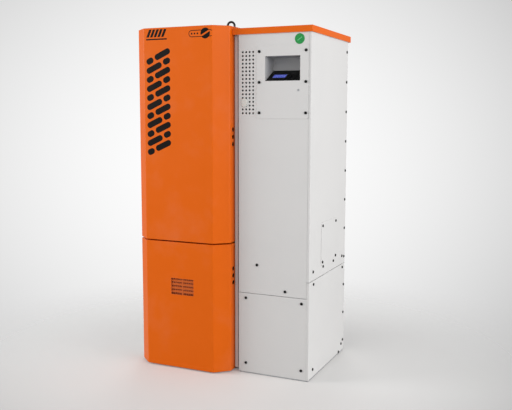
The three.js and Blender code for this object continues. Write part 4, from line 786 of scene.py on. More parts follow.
def door(name, bottom, top, fingers, openings=()):
    outside = tray(0, DOOR_REAR, SLANT_WIDTH, SLANT_DEPTH, BEND)
    inside_rear = DOOR_REAR + SHEET + OVERRUN
    room = tray(SHEET, inside_rear, INNER_SLANT_WIDTH, INNER_SLANT_DEPTH, BEND - SHEET)
    shell = solid(name, [("z", outside, bottom, top)])
    ends = (bottom / MM, top / MM)
    rear = place(0, DOOR_REAR - SHEET / 4, 0).y

    def round_an_end(a, b):
        """The edges of both end plates, apart from their straight rear ones."""
        level = abs(a.z - b.z) < SAME_HEIGHT and any(abs(a.z - end) < SAME_HEIGHT for end in ends)
        return level and not (a.y > rear and b.y > rear)

    round_edges(shell, END_ROUNDING, END_STEPS, round_an_end)
    cut(shell, solid("hollow", [("z", room, bottom + SHEET, top - SHEET)]))
    holes = []
    for step in (-1, 0, 1):
        finger = circle(FINGER_Y, fingers + step * FINGER_PITCH, FINGER_RADIUS, FINGER_SIDES)
        holes.append(("x", finger, DOOR_RIGHT - SHEET - BEHIND, DOOR_RIGHT + SHEET))
    pin = circle(DOOR_LEFT + PIN_X, PIN_Y, PIN_HOLE_RADIUS, PIN_HOLE_SIDES)
    holes.append(("z", pin, bottom - OVERRUN, bottom + SHEET + OVERRUN))
    holes.append(("z", pin, top - SHEET - OVERRUN, top + OVERRUN))
    for foot in (bottom + SHEET, top - SHEET - NOTCH_HEIGHT):
        notch = rectangle(NOTCH_FRONT, foot, NOTCH_REAR, foot + NOTCH_HEIGHT)
        holes.append(("x", notch, DOOR_LEFT - OVERRUN, DOOR_LEFT + SHEET + OVERRUN))
    cut(shell, solid("holes", [*holes, *openings]))
    return shell


VENT_LEFT, VENT_RIGHT = 188.0, 304.0
VENT_FOOT, VENT_TOP = 347.0, 422.0
vent = rectangle(VENT_LEFT, VENT_FOOT, VENT_RIGHT, VENT_TOP)
vent_opening = ("y", vent, DOOR_FRONT - BEHIND, DOOR_FRONT + SHEET + BEHIND)
upper = door("upper_door_skin", UPPER_FOOT, UPPER_TOP, UPPER_FINGERS)
finish_piece(upper, "upper_door", "orange_paint", "orange_paint_printed", stands_for="upper_door")
lower = door("lower_door_skin", LOWER_FOOT, LOWER_TOP, LOWER_FINGERS, [vent_opening])
finish_piece(lower, "lower_door", "orange_paint", stands_for="lower_door")

# %% [markdown]
# Behind the finger holes there is a black plastic pocket. Its black is painted shade: it stands for the
# shaded inside of the door and makes the holes look dark. It also keeps the fingers out of the door. Black
# paint behind the holes would show no depth, so it is a real box, open towards the holes, that stands
# right behind the sheet.

# %% Grip pockets, black as painted shade
POCKET_WALL = 1.0
POCKET_FRONT, POCKET_REAR = -8.0, 20.5
POCKET_LEFT = 436.0
POCKET_HALF = 46.0
POCKET_GAP = 0.2


def painted_shade_pocket(name, body, fingers):
    def box(inset, right):
        low, high = fingers - POCKET_HALF + inset, fingers + POCKET_HALF - inset
        outline = rectangle(POCKET_FRONT + inset, low, POCKET_REAR - inset, high)
        return [("x", outline, POCKET_LEFT + inset, right)]

    pocket = solid(name, box(0, DOOR_RIGHT - SHEET - POCKET_GAP))
    cut(pocket, solid("room", box(POCKET_WALL, DOOR_RIGHT - OVERRUN)))
    # Painted shade: the pocket's black stands for the shaded inside of the door.
    finish_piece(pocket, body, "black_plastic")


painted_shade_pocket("upper_painted_shade_pocket", "upper_door", UPPER_FINGERS)
painted_shade_pocket("lower_painted_shade_pocket", "lower_door", LOWER_FINGERS)

# %% [markdown]
# ## The air vent in the lower door
#
# The burner draws its air through a small louvre: five slots with slats between them that slope inwards
# and shade each other. Behind them, a brown sheet is painted shade: it stands for the door's orange
# inside in shadow, so that the whole rectangle looks brown from a distance. Slats as stripes of colour
# would look flat from the side, and these are few, so each is a real strip with the section of a bent
# sheet. Their paint is a darker, duller orange than the door's, which is painted shade for slats that lie
# back in the door's shadow.

# %% Louvre
SLOTS = 5
SLAT = 7.6
SLAT_SHEET = 1.2
SLAT_BEND = 1.0
SLAT_FRONT = DOOR_FRONT + 3.6
SLAT_REAR = DOOR_FRONT + 9.5
SLAT_RISE = 3.2
SLAT_END, SLAT_INNER_BEND = 1.3, 1.4
RIB_PITCHES, RIB_HALF = 12, 0.6
WEB_HALF = 3.4
WEB_SETBACK, RIB_SETBACK, REAR_SETBACK = 0.4, 2.0, 0.5
CHEEK_FRONT, CHEEK_REAR = DOOR_FRONT + 2.1, DOOR_FRONT + 11
CHEEK_NEAR, CHEEK_FAR, CHEEK_OVERLAP = 0.8, 3, 4


def louvre():
    slot = (VENT_TOP - VENT_FOOT - SLAT * (SLOTS - 1)) / SLOTS
    shapes = []
    for row in range(SLOTS - 1):
        foot = VENT_FOOT + slot * (row + 1) + SLAT * row
        crest = foot + SLAT
        inner = SLAT_FRONT + SLAT_SHEET
        section = [
            (SLAT_FRONT, foot), (SLAT_FRONT, crest - SLAT_BEND), (SLAT_FRONT + SLAT_BEND, crest),
            (SLAT_REAR, crest + SLAT_RISE), (SLAT_REAR, crest + SLAT_RISE - SLAT_END),
            (inner, crest - SLAT_INNER_BEND), (inner, foot),
        ]
        shapes.append(("x", section, VENT_LEFT - CHEEK_NEAR, VENT_RIGHT + CHEEK_NEAR))
    foot, top = VENT_FOOT - OVERRUN, VENT_TOP + OVERRUN
    middle = (VENT_LEFT + VENT_RIGHT) / 2
    web = rectangle(SLAT_FRONT + WEB_SETBACK, foot, SLAT_REAR - REAR_SETBACK, top)
    shapes.append(("x", web, middle - WEB_HALF, middle + WEB_HALF))
    rib = rectangle(SLAT_FRONT + RIB_SETBACK, foot, SLAT_REAR - REAR_SETBACK, top)
    for pitch in range(1, RIB_PITCHES):
        x = VENT_LEFT + (VENT_RIGHT - VENT_LEFT) * pitch / RIB_PITCHES
        shapes.append(("x", rib, x - RIB_HALF, x + RIB_HALF))
    cheek = rectangle(CHEEK_FRONT, VENT_FOOT - CHEEK_OVERLAP, CHEEK_REAR, VENT_TOP + CHEEK_OVERLAP)
    shapes.append(("x", cheek, VENT_LEFT - CHEEK_FAR, VENT_LEFT - CHEEK_NEAR))
    shapes.append(("x", cheek, VENT_RIGHT + CHEEK_NEAR, VENT_RIGHT + CHEEK_FAR))
    return solid("vent_louvre", shapes)


# Painted shade: a darker, duller orange than the door's, for slats that lie back in the door's shadow.
powder_coat("slat_painted_shade", colour(196, 92, 32), 0.6)
finish_piece(louvre(), "lower_door", "orange_paint", "slat_painted_shade", sharp=ROUND_THING)

# %% A brown sheet of painted shade behind the slots
SHADE_FRONT, SHADE_REAR = DOOR_FRONT + 11.2, DOOR_FRONT + 16
SHADE_SIDE, SHADE_END = 2.6, 3.0


def painted_shade_sheet():
    outline = rectangle(VENT_LEFT - SHADE_SIDE, VENT_FOOT - SHADE_END, VENT_RIGHT + SHADE_SIDE, VENT_TOP + SHADE_END)
    return solid("vent_painted_shade_sheet", [("y", outline, SHADE_FRONT, SHADE_REAR)])


# Painted shade: a brown that stands for the door's orange inside in shadow, seen through the slots.
porous("painted_shade_sheet", colour(150, 60, 14), 0.9, 420.0, colour(120, 44, 8), colour(178, 74, 18), 0.0006)
finish_piece(painted_shade_sheet(), "lower_door", "foam_rubber", "painted_shade_sheet")

# %% [markdown]
# ## The hopper's front panel
#
# The CAD solid has eight-sided holes to keep it light. From nearby they have to be round, so the panel
# is made again with the same outline, with 68 round punched holes and with the opening for the recess.
# A picture with an alpha mask would be lighter still, but its holes would have no edge.

# %% Perforated panel
(FACE_LEFT, _, PANEL_FOOT), (FACE_RIGHT, FACE_FOLD, PANEL_TOP) = drawn_box("hopper_front_panel")
FACE_SEAM = 0.4
FACE_BEND, FACE_BEND_STEPS = 1.2, 3
HOLE_LEFT, HOLE_FOOT = 513.5, 1167.5
HOLE_PITCH_ACROSS, HOLE_PITCH_UP = 16.5, 16.3
HOLE_COLUMNS, HOLE_ROWS = 4, 17
HOLE_RADIUS, HOLE_SIDES = 4.6, 20
# Left, foot, right and top
RECESS_OPENING = (611.3, 1296.0, 787.5, 1416.0)


def front_panel():
    right = FACE_RIGHT - FACE_SEAM
    outline = [
        (FACE_LEFT, 0, FACE_BEND), (right, 0, 0), (right, SHEET, 0),
        (FACE_LEFT + SHEET, SHEET, 0), (FACE_LEFT + SHEET, FACE_FOLD, 0), (FACE_LEFT, FACE_FOLD, 0),
    ]
    panel = solid("hopper_front_skin", [("z", arcs(outline, FACE_BEND_STEPS), PANEL_FOOT, PANEL_TOP)])
    openings = []
    for row in range(HOLE_ROWS):
        for column in range(HOLE_COLUMNS):
            x, z = HOLE_LEFT + HOLE_PITCH_ACROSS * column, HOLE_FOOT + HOLE_PITCH_UP * row
            openings.append(circle(x, z, HOLE_RADIUS, HOLE_SIDES))
    openings.append(rectangle(*RECESS_OPENING))
    cut(panel, solid("punches", [("y", opening, -OVERRUN, SHEET + OVERRUN) for opening in openings]))
    return panel


finish_piece(front_panel(), "cabinet", "white_paint", stands_for="hopper_front_panel")
print("punched holes:", HOLE_ROWS * HOLE_COLUMNS)

# %% [markdown]
# ## Beside and above the front panel
#
# The strip between the doors and the hopper is two folded edges with a dark seam between them, and it
# runs up behind the lid's lip. The boiler's cover is folded down beside the lid, so that no white edge
# shows there. A line drawn in the paint would do from afar, but a real gap is dark from every side.

# %% Strip and folded edge
(STRIP_LEFT, STRIP_FRONT, STRIP_FOOT), (STRIP_RIGHT, STRIP_REAR, STRIP_TOP) = drawn_box("filler_strip")
(_, COVER_FRONT, _), (COVER_RIGHT, COVER_REAR, COVER_TOP) = drawn_box("top_cover")
SEAM_LEFT, SEAM_RIGHT = STRIP_LEFT + 14.2, STRIP_LEFT + 17.4
TAB_INSET, TAB_GAP, TAB_HEIGHT = 2.6, 0.02, 20.0
FOLD_GAP, FOLD_SHEET = 0.2, 1.0
FOLD_TOP_GAP, FOLD_HEIGHT = 0.4, 21.6


def strip():
    plates = [
        (STRIP_LEFT, STRIP_FOOT, SEAM_LEFT, STRIP_TOP),
        (SEAM_RIGHT, STRIP_FOOT, STRIP_RIGHT, STRIP_TOP),
        (STRIP_LEFT + TAB_INSET, STRIP_TOP + TAB_GAP, STRIP_RIGHT, STRIP_TOP + TAB_HEIGHT),
    ]
    return solid("filler_strip_skin", [("y", rectangle(*plate), STRIP_FRONT, STRIP_REAR) for plate in plates])


def folded_edge():
    top = COVER_TOP - FOLD_TOP_GAP
    outline = rectangle(COVER_FRONT, top - FOLD_HEIGHT, COVER_REAR - SHEET, top)
    left = COVER_RIGHT + FOLD_GAP
    return solid("cover_folded_edge", [("x", outline, left, left + FOLD_SHEET)])


finish_piece(strip(), "cabinet", "white_paint", stands_for="filler_strip")
finish_piece(folded_edge(), "cabinet", "orange_paint")

# %% [markdown]
# ## Turned parts
#
# Screw heads, plugs, bolts and the collar of the lifting eye are all turned: a profile of radii and
# levels is spun round an axis. The Screw modifier could do it, but it needs an object for each profile,
# while a short function can put many turned parts into one mesh.

# %% A lathe
def turned(bm, axis, centre, profile, sides=32):
    """A lathe part along an axis: the profile is (radius, level) from its first end to its last."""
    at = TURNS[axis]
    rings = [
        [bm.verts.new(at(*point, level)) for point in circle(*centre, radius, sides)]
        for radius, level in profile]
    made = [bm.faces.new(rings[0]), bm.faces.new(rings[-1])]
    for first, second in zip(rings, rings[1:]):
        for k in range(sides):
            after = (k + 1) % sides
            made.append(bm.faces.new((first[k], first[after], second[after], second[k])))
    bmesh.ops.recalc_face_normals(bm, faces=made)


# %% [markdown]
# ## Screws
#
# Black pan-head screws hold every white panel. One head has a flat face, a rounded shoulder and a cross
# recess, and is then copied to each place, each copy turned a little further, as screws are when they
# are tight. The copies of one panel are joined into one piece, because they belong to it.

# %% One screw head
HEAD_RADIUS, HEAD_HEIGHT = 6.3, 3.5
HEAD_SIDES = 20
HEAD_SHARES = ((0.5, 1.0), (0.8, 0.97), (0.92, 0.88), (1.0, 0.7), (1.0, 0.0))
CROSS_FLOOR = 2.7
CROSS_REACH_SHARE, CROSS_HALF_SHARE = 0.58, 0.14


def screw_head():
    """A head in millimetres that points up Z, with its seat at zero."""
    bm = bmesh.new()
    profile = [(HEAD_RADIUS * across, HEAD_HEIGHT * up) for across, up in HEAD_SHARES]
    turned(bm, "own", (0, 0), profile, HEAD_SIDES)
    head = as_object("head", bm)
    far, near = HEAD_RADIUS * CROSS_REACH_SHARE, HEAD_RADIUS * CROSS_HALF_SHARE
    arm = [(far, -near), (far, near), (near, near)]
    cross = [(x * c - y * s, x * s + y * c) for c, s in ((1, 0), (0, 1), (-1, 0), (0, -1)) for x, y in arm]
    cut(head, solid("cross", [("own", cross, CROSS_FLOOR, HEAD_HEIGHT + OVERRUN)]))
    mesh = head.data
    bpy.data.objects.remove(head)
    return mesh


HEAD = screw_head()
print("faces of one screw head:", len(HEAD.polygons))

# %% Copies of the head
QUARTER = math.pi / 2
FACING = {
    "-y": Matrix.Rotation(QUARTER, 4, "X"),
    "y": Matrix.Rotation(-QUARTER, 4, "X"),
    "x": Matrix.Rotation(QUARTER, 4, "Y"),
    "-x": Matrix.Rotation(-QUARTER, 4, "Y"),
}
TURN_EACH = 1.3


def screws(name, facing, places):
    bm = bmesh.new()
    for index, spot in enumerate(places):
        before = len(bm.verts)
        bm.from_mesh(HEAD)
        bm.verts.ensure_lookup_table()
        turn = Matrix.Rotation(index * TURN_EACH, 4, "Z")
        size = Matrix.Diagonal((1 / MM, 1 / MM, 1 / MM, 1))
        move = Matrix.Translation(place(*spot)) @ FACING[facing] @ turn @ size
        bmesh.ops.transform(bm, matrix=move, verts=bm.verts[before:])
    finish_piece(as_object(name, bm), "cabinet", "black_steel", "black_screws")


# %% Screws of the front
(PLATE_LEFT, _, PLATE_FOOT), (PLATE_RIGHT, _, PLATE_TOP) = drawn_box("control_plate")
PLATE_FACE = -1.8
PLATE_INSET_X, PLATE_INSET_Z = 12.5, 25.0
PLATE_XS = (PLATE_LEFT + PLATE_INSET_X, PLATE_RIGHT - PLATE_INSET_X)
PLATE_ZS = (PLATE_FOOT + PLATE_INSET_Z, (PLATE_FOOT + PLATE_TOP) / 2, PLATE_TOP - PLATE_INSET_Z)
FRONT_SPOTS = ((583, 0, 501), (717.5, 0, 393))
LOWER_XS, LOWER_ZS = (529, 795), (47, 347)

screws("front_panel_screws", "-y", FRONT_SPOTS)
screws("lower_cover_screws", "-y", [(x, 0, z) for x in LOWER_XS for z in LOWER_ZS])
screws("control_plate_screws", "-y", [(x, PLATE_FACE, z) for x in PLATE_XS for z in PLATE_ZS])

# %% Screws of the sides and the rear
LEFT_SIDE, RIGHT_SIDE = 2.6, 828
REAR_FACE = COVER_REAR
EDGE_Y, EDGE_FOOT, EDGE_PITCH, EDGE_SCREWS = 490, 55, 140, 11
EDGE_ZS = [EDGE_FOOT + EDGE_PITCH * k for k in range(EDGE_SCREWS)]
ROW_FRONT, ROW_LENGTH, ROW_HEIGHT = 49, 409, 482
ROW_SHARES = (0, 0.325, 0.68, 1)
CORNER_YS, CORNER_ZS = (57, 467), (40, 425)
FOOT_SCREW = (RIGHT_SIDE, 427, 10)
ACCESS_FACE = RIGHT_SIDE + 1.8
ACCESS_YS, ACCESS_ZS = (168, 352), (504, 669)
REAR_XS = (14, 450, 484, 814)
REAR_FOOT, REAR_PITCH, REAR_SCREWS = 60, 235, 7
REAR_ZS = [REAR_FOOT + REAR_PITCH * k for k in range(REAR_SCREWS)]

upper_row = [(RIGHT_SIDE, ROW_FRONT + share * ROW_LENGTH, ROW_HEIGHT) for share in ROW_SHARES]
corners = [(RIGHT_SIDE, y, z) for y in CORNER_YS for z in CORNER_ZS]
edge = [(RIGHT_SIDE, EDGE_Y, z) for z in EDGE_ZS]
screws("side_panel_screws", "x", [*upper_row, *corners, *edge, FOOT_SCREW])
screws("access_cover_screws", "x", [(ACCESS_FACE, y, z) for y in ACCESS_YS for z in ACCESS_ZS])
screws("left_side_screws", "-x", [(LEFT_SIDE, EDGE_Y, z) for z in EDGE_ZS])
screws("rear_screws", "y", [(x, REAR_FACE, z) for x in REAR_XS for z in REAR_ZS])

# %% [markdown]
# ## The lifting eye
#
# The vessel hangs from one forged eye while it is carried in. A forged eye has a fat ring that flows
# into a round collar. The ring is a torus, and the collar and the shank are turned.

# %% Forged eye
(EYE_LEFT, EYE_FRONT, EYE_FOOT), (EYE_RIGHT, EYE_REAR, EYE_TOP) = drawn_box("eye_bolt")
EYE = ((EYE_LEFT + EYE_RIGHT) / 2, (EYE_FRONT + EYE_REAR) / 2)
RING_RADIUS, RING_THICKNESS = 17.5, 5.0
COLLAR = ((12.3, 0.3), (12.5, 0.8), (12.5, 4.8), (11.6, 5.9), (8.5, 7.2), (6.0, 9.5), (4.0, 10.5))
SHANK_RADIUS, SHANK_SIDES = 5.0, 20
SHANK_INSET, SHANK_OVERLAP = 0.2, 0.5


def torus(bm, centre, major, minor, around=48, across=20):
    """A ring that stands upright and faces the front."""
    x, y, z = centre
    section = [(major + minor * math.cos(b), minor * math.sin(b)) for b in angles(across)]
    rows = []
    for a in angles(around):
        c, s = math.cos(a), math.sin(a)
        spots = [place(x + reach * c, y + aside, z + reach * s) for reach, aside in section]
        rows.append([bm.verts.new(spot) for spot in spots])
    for i, row in enumerate(rows):
        after = rows[(i + 1) % around]
        for j in range(across):
            k = (j + 1) % across
            bm.faces.new((row[j], after[j], after[k], row[k]))


def lifting_eye():
    bm = bmesh.new()
    torus(bm, (*EYE, EYE_TOP - RING_RADIUS - RING_THICKNESS), RING_RADIUS, RING_THICKNESS)
    turned(bm, "z", EYE, [(radius, COVER_TOP + rise) for radius, rise in COLLAR])
    shank = [(SHANK_RADIUS, EYE_FOOT + SHANK_INSET), (SHANK_RADIUS, COVER_TOP + SHANK_OVERLAP)]
    turned(bm, "z", EYE, shank, SHANK_SIDES)
    bmesh.ops.recalc_face_normals(bm, faces=bm.faces)
    return as_object("lifting_eye_forged", bm)


finish_piece(lifting_eye(), "cabinet", "black_steel", stands_for="eye_bolt", sharp=ROUND_THING)

# %% [markdown]
# ## The round mark and the plugs
#
# A small round green sticker sits on the front panel above the control plate. It is a thin disc with a
# paler stripe, which is a capsule in its material. An oval cap closes a spare opening in the perforated
# field, and a small grey plug fills a spare hole in the control plate.

# %% Sticker
STICKER = (776, 1476)
STICKER_PROFILE = ((22.0, 0.0), (22.0, -0.25), (21.8, -0.3))
STICKER_SIDES = 48
STRIPE_TILT, STRIPE_HALF, STRIPE_RADIUS = 35, 11.0, 1.2


def green_film():
    surface = Surface("green_film", colour(24, 158, 78), 0.3)
    x, _, z = surface.axes()
    stripe = capsule(x, z, STICKER, STRIPE_TILT, STRIPE_HALF, STRIPE_RADIUS)
    sheen = surface.point.noise(scale=500.0, detail=2.0)
    green = sheen.mix(colour(4, 132, 54), colour(16, 148, 68))
    surface.set("Base Color", stripe.mix(green, colour(120, 205, 150)))
    surface.set("Roughness", sheen.ramp(0.3, 0.7, 0.24, 0.36))


def sticker():
    bm = bmesh.new()
    turned(bm, "y", STICKER, STICKER_PROFILE, STICKER_SIDES)
    return as_object("round_mark", bm)


green_film()
finish_piece(sticker(), "cabinet", "grey_plastic", "green_film")

# %% Plugs
(PLUG_LEFT, PLUG_FRONT, PLUG_FOOT), (PLUG_RIGHT, PLUG_REAR, PLUG_TOP) = drawn_box("blanking_plug")
CAP_EXTRA = 6.5
CAP_FLAT = 0.2
CAP_END_STEPS = 10
CAP_ROUNDING, CAP_ROUNDING_STEPS = 0.0016, 4
CAP_FACE_DEPTH = 0.5
PLATE_PLUG = (772, 1264)
PLATE_PLUG_PROFILE = ((4.6, -1.8), (4.6, -2.4), (3.9, -3.0))
PLATE_PLUG_SIDES = 24


def plug_cap():
    """As wide as the CAD's round plug, and longer at both ends."""
    radius = (PLUG_RIGHT - PLUG_LEFT - CAP_FLAT) / 2
    ends = rectangle(PLUG_LEFT, PLUG_FOOT - CAP_EXTRA, PLUG_RIGHT, PLUG_TOP + CAP_EXTRA)
    outline = arcs([(x, z, radius) for x, z in ends], CAP_END_STEPS)
    cap = solid("blanking_plug_cap", [("y", outline, PLUG_FRONT, PLUG_REAR)])
    face = place(0, PLUG_FRONT + CAP_FACE_DEPTH, 0).y
    round_edges(cap, CAP_ROUNDING, CAP_ROUNDING_STEPS, lambda a, b: a.y < face and b.y < face)
    return cap


def plate_plug():
    bm = bmesh.new()
    turned(bm, "y", PLATE_PLUG, PLATE_PLUG_PROFILE, PLATE_PLUG_SIDES)
    return as_object("plate_plug", bm)


Surface("cap_plastic", colour(214, 213, 208), 0.35)
finish_piece(plug_cap(), "cabinet", "grey_plastic", "cap_plastic", stands_for="blanking_plug")
finish_piece(plate_plug(), "cabinet", "zinc_steel")

# %% [markdown]
# ## Small things inside and behind
#
# With a door open, the burner and its fan come into view, and from behind the pipes do. A wire guard
# keeps fingers out of the fan, hexagon bolts hold the burner, and the pipes end in screw threads. The
# wires could be curves with a bevel, but meshes of a few sides are lighter and export as they are.

# %% Wire through points
def wire(bm, points, radius, sides=8, closed=False):
    """A thin round wire through points, in the drawing's millimetres."""
    rings = []
    count = len(points)
    side = None
    for index, point in enumerate(points):
        ahead = points[(index + 1) % count] if closed or index + 1 < count else point
        behind = points[index - 1] if closed or index else point
        along = (ahead - behind).normalized()
        side = (side - along * side.dot(along)).normalized() if side else along.orthogonal().normalized()
        other = along.cross(side)
        around = [point + (side * math.cos(a) + other * math.sin(a)) * radius for a in angles(sides)]
        rings.append([bm.verts.new(place(*spot)) for spot in around])
    pairs = list(zip(rings, rings[1:]))
    if closed:
        pairs.append((rings[-1], rings[0]))
    else:
        bm.faces.new(rings[0])
        bm.faces.new(rings[-1])
    for first, second in pairs:
        for k in range(sides):
            after = (k + 1) % sides
            bm.faces.new((first[k], first[after], second[after], second[k]))
    bmesh.ops.recalc_face_normals(bm, faces=bm.faces)


def hoop(centre, radius, steps):
    """Points of an upright circle that faces the front or the rear."""
    return [centre + Vector((radius * math.cos(a), 0, radius * math.sin(a))) for a in angles(steps)]


# %% Fan guard
(FAN_LEFT, FAN_FRONT, FAN_FOOT), (FAN_RIGHT, _, FAN_TOP) = drawn_box("fan_housing")
GUARD_GAP = 1.3
GUARD = Vector(((FAN_LEFT + FAN_RIGHT) / 2, FAN_FRONT - GUARD_GAP, (FAN_FOOT + FAN_TOP) / 2))
GUARD_RADII, GUARD_STEPS = (10, 18, 26, 34, 42), 40
GUARD_WIRE, SPOKE_WIRE = 0.9, 1.1
SPOKES = 4
SPOKE_PLACES = ((8, -1.2), (40, -1.2), (52, 0.5))


def fan_guard():
    bm = bmesh.new()
    for radius in GUARD_RADII:
        wire(bm, hoop(GUARD, radius, GUARD_STEPS), GUARD_WIRE, closed=True)
    for a in angles(SPOKES):
        tip = Vector((math.cos(a + QUARTER / 2), 0, math.sin(a + QUARTER / 2)))
        wire(bm, [GUARD + tip * reach + Vector((0, y, 0)) for reach, y in SPOKE_PLACES], SPOKE_WIRE)
    return as_object("fan_guard", bm)


finish_piece(fan_guard(), "cabinet", "bare_steel", sharp=WIRY_THING)

# %% Burner bolts
BOLT_XS, BOLT_ZS = (147, 317), (300, 480)
WASHER, WASHER_SIDES = ((9.0, 104.6), (9.0, 103.2)), 24
BOLT_HEAD, HEXAGON = ((7.5, 103.2), (7.5, 98.6), (6.6, 97.9)), 6


def burner_bolts():
    bm = bmesh.new()
    for x in BOLT_XS:
        for z in BOLT_ZS:
            turned(bm, "y", (x, z), WASHER, WASHER_SIDES)
            turned(bm, "y", (x, z), BOLT_HEAD, HEXAGON)
    return as_object("burner_bolts", bm)


finish_piece(burner_bolts(), "cabinet", "zinc_steel")

# %% Pipe threads and the flue's beads
STUBS = ((95, 1385), (95, 190))
THREAD_START, THREAD_PITCH, THREAD_TURNS, THREAD_STEPS = 518.0, 2.3, 9, 28
THREAD_RADIUS, THREAD_WIRE, THREAD_SIDES = 21.0, 0.75, 6
(FLUE_LEFT, _, FLUE_FOOT), (FLUE_RIGHT, _, FLUE_TOP) = drawn_box("flue_spigot")
FLUE_X, FLUE_Z = (FLUE_LEFT + FLUE_RIGHT) / 2, (FLUE_FOOT + FLUE_TOP) / 2
FLUE_RADIUS = 65.0
BEAD_YS = (516.0, 582.5)
BEAD_WIRE, BEAD_STEPS, BEAD_SIDES = 1.3, 64, 10


def threads():
    bm = bmesh.new()
    for x, z in STUBS:
        points = []
        for k in range(THREAD_TURNS * THREAD_STEPS):
            turn = 2 * math.pi * k / THREAD_STEPS
            across, up = THREAD_RADIUS * math.cos(turn), THREAD_RADIUS * math.sin(turn)
            points.append(Vector((x + across, THREAD_START + THREAD_PITCH * k / THREAD_STEPS, z + up)))
        wire(bm, points, THREAD_WIRE, THREAD_SIDES)
    return as_object("pipe_threads", bm)


def flue_beads():
    bm = bmesh.new()
    for y in BEAD_YS:
        points = hoop(Vector((FLUE_X, y, FLUE_Z)), FLUE_RADIUS, BEAD_STEPS)
        wire(bm, points, BEAD_WIRE, BEAD_SIDES, closed=True)
    return as_object("flue_beads", bm)


finish_piece(threads(), "cabinet", "zinc_steel", sharp=WIRY_THING)
finish_piece(flue_beads(), "cabinet", "bare_steel", sharp=WIRY_THING)

# %% [markdown]
# ## Camera
#
# The camera stands where the photograph was taken: a little above the middle of the boiler, to its
# right, looking down by 7 degrees. The focal length comes from the same fit as the place. Its turn is
# made of three directions, which say the same as Euler angles do but can be read.

# %% Camera
FOCAL_LENGTH, SENSOR_WIDTH = 51.975, 36.0
CAMERA_PLACE = (1.47887, -3.19010, 1.16102)
YAW, PITCH, ROLL = -0.422097, 0.121529, 0.001961
NEAR, FAR = 0.05, 200.0


def add_camera():
    camera = bpy.data.objects.new("camera", bpy.data.cameras.new("camera"))
    bpy.context.scene.collection.objects.link(camera)
    camera.data.sensor_width = SENSOR_WIDTH
    camera.data.lens = FOCAL_LENGTH
    camera.data.clip_start, camera.data.clip_end = NEAR, FAR
    camera.location = CAMERA_PLACE
    forward = Vector((math.sin(YAW) * math.cos(PITCH), math.cos(YAW) * math.cos(PITCH), -math.sin(PITCH)))
    right = forward.cross(Vector((0, 0, 1))).normalized()
    up = right.cross(forward)
    rolled_right = right * math.cos(ROLL) + up * math.sin(ROLL)
    rolled_up = up * math.cos(ROLL) - right * math.sin(ROLL)
    camera.rotation_euler = Matrix((rolled_right, rolled_up, -forward)).transposed().to_euler()
    bpy.context.scene.camera = camera
    print("the camera looks along", tuple(round(v, 3) for v in forward))


add_camera()

# %% [markdown]
# ## Studio
#
# The floor is a wide pale disc that fades into the background, so that no horizon shows. The soft
# background is a colour of the world that only the camera and reflections see, because as a light it
# would flatten the shadows. A photograph of a studio round the scene would light it well too, but two
# gradients are easier to match and to change.

# %% What the camera and reflections see
def seen_directly(tree):
    """1 for the camera and for what metal and glass show of the studio, 0 for soft light."""
    path = tree.nodes.new("ShaderNodeLightPath")
    kinds = ("Is Camera Ray", "Is Glossy Ray", "Is Transmission Ray")
    return union([Value(path.outputs[kind]) for kind in kinds])


def blend_into(tree, output, factor, first, second):
    """The tree's output shows the first shader where the factor is 0, and the second where it is 1."""
    blend = tree.nodes.new("ShaderNodeMixShader")
    connect(blend.inputs[0], factor)
    tree.links.new(first.outputs[0], blend.inputs[1])
    tree.links.new(second.outputs[0], blend.inputs[2])
    tree.links.new(blend.outputs[0], tree.nodes[output].inputs[0])


# %% Floor
FLOOR_RADIUS, FLOOR_SIDES, FLOOR_SINK = 12.0, 96, 0.0005
FLOOR_ROUGHNESS = 0.65
FLOOR_AS_LIGHT = (0.40, 0.39, 0.38)
FLOOR_DARK, FLOOR_PALE = (0.74, 0.73, 0.72), (0.77, 0.76, 0.75)
FADE_START, FADE_END, FADE_LEAST = 0.35, 1.9, 0.12


def floor():
    bm = bmesh.new()
    bmesh.ops.create_circle(bm, cap_ends=True, segments=FLOOR_SIDES, radius=FLOOR_RADIUS)
    disc = as_object("studio_floor", bm)
    disc.location.z = -FLOOR_SINK
    material = bpy.data.materials.new("studio_floor")
    material.use_nodes = True
    tree = material.node_tree
    shader = tree.nodes["Principled BSDF"]
    shader.inputs["Roughness"].default_value = FLOOR_ROUGHNESS
    point = Value(tree.nodes.new("ShaderNodeTexCoord").outputs["Object"])
    pale = point.noise(scale=2.0, detail=3.0).mix(FLOOR_DARK, FLOOR_PALE)
    connect(shader.inputs["Base Color"], seen_directly(tree).mix(FLOOR_AS_LIGHT, pale))
    away = point.node("ShaderNodeVectorMath", {"operation": "LENGTH"}, point, output=1)
    smooth = {"interpolation_type": "SMOOTHSTEP"}
    fade = away.node("ShaderNodeMapRange", smooth, away, FADE_START, FADE_END, FADE_LEAST, 1.0)
    blend_into(tree, "Material Output", fade, shader, tree.nodes.new("ShaderNodeBsdfTransparent"))
    disc.data.materials.append(material)


floor()

# %% Background
BRIGHT_SIDE, BRIGHT_HEIGHT = 0.035, 0.06
FALL_ACROSS, FALL_UP = 2.0, 3.2
DARKEST = 0.4
ACROSS_VIEW = (0.912, 0.4095, 0.0)
BEHIND_OBJECT = (-0.35, 0.937, 0.0)
DIM, FULL = (0.30, 0.30, 0.30), (1.0, 1.0, 1.0)
WORLD_STRENGTH = 0.50


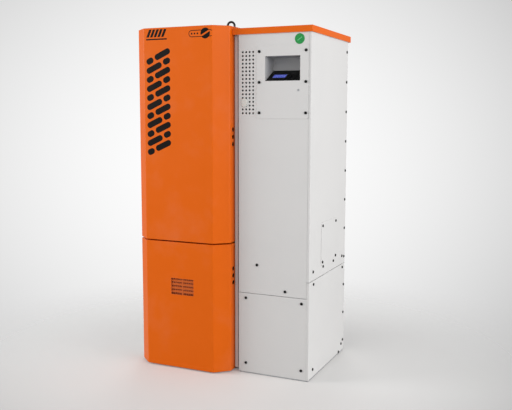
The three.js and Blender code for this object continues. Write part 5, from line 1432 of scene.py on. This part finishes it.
def background():
    world = bpy.data.worlds.new("studio")
    bpy.context.scene.world = world
    world.use_nodes = True
    tree = world.node_tree
    light = tree.nodes["Background"]
    seen = tree.nodes.new("ShaderNodeBackground")
    direction = Value(tree.nodes.new("ShaderNodeTexCoord").outputs["Generated"])
    split = tree.nodes.new("ShaderNodeSeparateXYZ")
    connect(split.inputs[0], direction)
    across = direction.dot(ACROSS_VIEW) + BRIGHT_SIDE
    up = Value(split.outputs[2]) + BRIGHT_HEIGHT
    fall = across * across * FALL_ACROSS + up * up * FALL_UP
    bright = (1.0 - fall).math("MAXIMUM", DARKEST)
    connect(seen.inputs["Color"], bright.node("ShaderNodeCombineXYZ", {}, bright, bright, bright))
    behind = direction.dot(BEHIND_OBJECT).ramp(0.0, 0.85)
    connect(light.inputs["Color"], behind.mix(FULL, DIM))
    light.inputs["Strength"].default_value = WORLD_STRENGTH
    blend_into(tree, "World Output", seen_directly(tree), light, seen)


background()

# %% [markdown]
# The lamps are large and soft, as in a product studio. One on the right lights the hopper's side and
# one on the left the doors' slanted sides, with a weak one in front, one at the corner between the two
# visible sides, and one behind that keeps the top's rear edge apart from the background.

# %% Lamps
RIGHT_WATTS, CORNER_WATTS, FRONT_WATTS, LEFT_WATTS, REAR_WATTS = 127.0, 24.0, 26.0, 156.0, 60.0


def lamp(name, location, target, size, power):
    data = bpy.data.lights.new(name, "AREA")
    data.shape = "RECTANGLE"
    data.size, data.size_y = size
    data.energy = power
    obj = bpy.data.objects.new(name, data)
    bpy.context.scene.collection.objects.link(obj)
    obj.location = location
    obj.rotation_euler = (Vector(target) - Vector(location)).to_track_quat("-Z", "Y").to_euler()


lamp("right_softbox", location=(4.5, -0.5, 1.5), target=(0.2, 0.0, 0.9), size=(2.6, 2.8), power=RIGHT_WATTS)
lamp("corner_softbox", location=(3.9, -2.6, 2.2), target=(0.0, 0.0, 1.3), size=(0.9, 1.2), power=CORNER_WATTS)
lamp("front_softbox", location=(0.3, -4.8, 2.3), target=(0.0, 0.0, 0.9), size=(3.0, 2.4), power=FRONT_WATTS)
lamp("left_softbox", location=(-4.4, -2.4, 2.0), target=(0.0, 0.0, 0.8), size=(2.4, 2.4), power=LEFT_WATTS)
lamp("rear_softbox", location=(-1.6, 4.4, 3.4), target=(0.0, 0.0, 0.8), size=(2.4, 1.6), power=REAR_WATTS)
bpy.context.scene.view_settings.view_transform = "Standard"
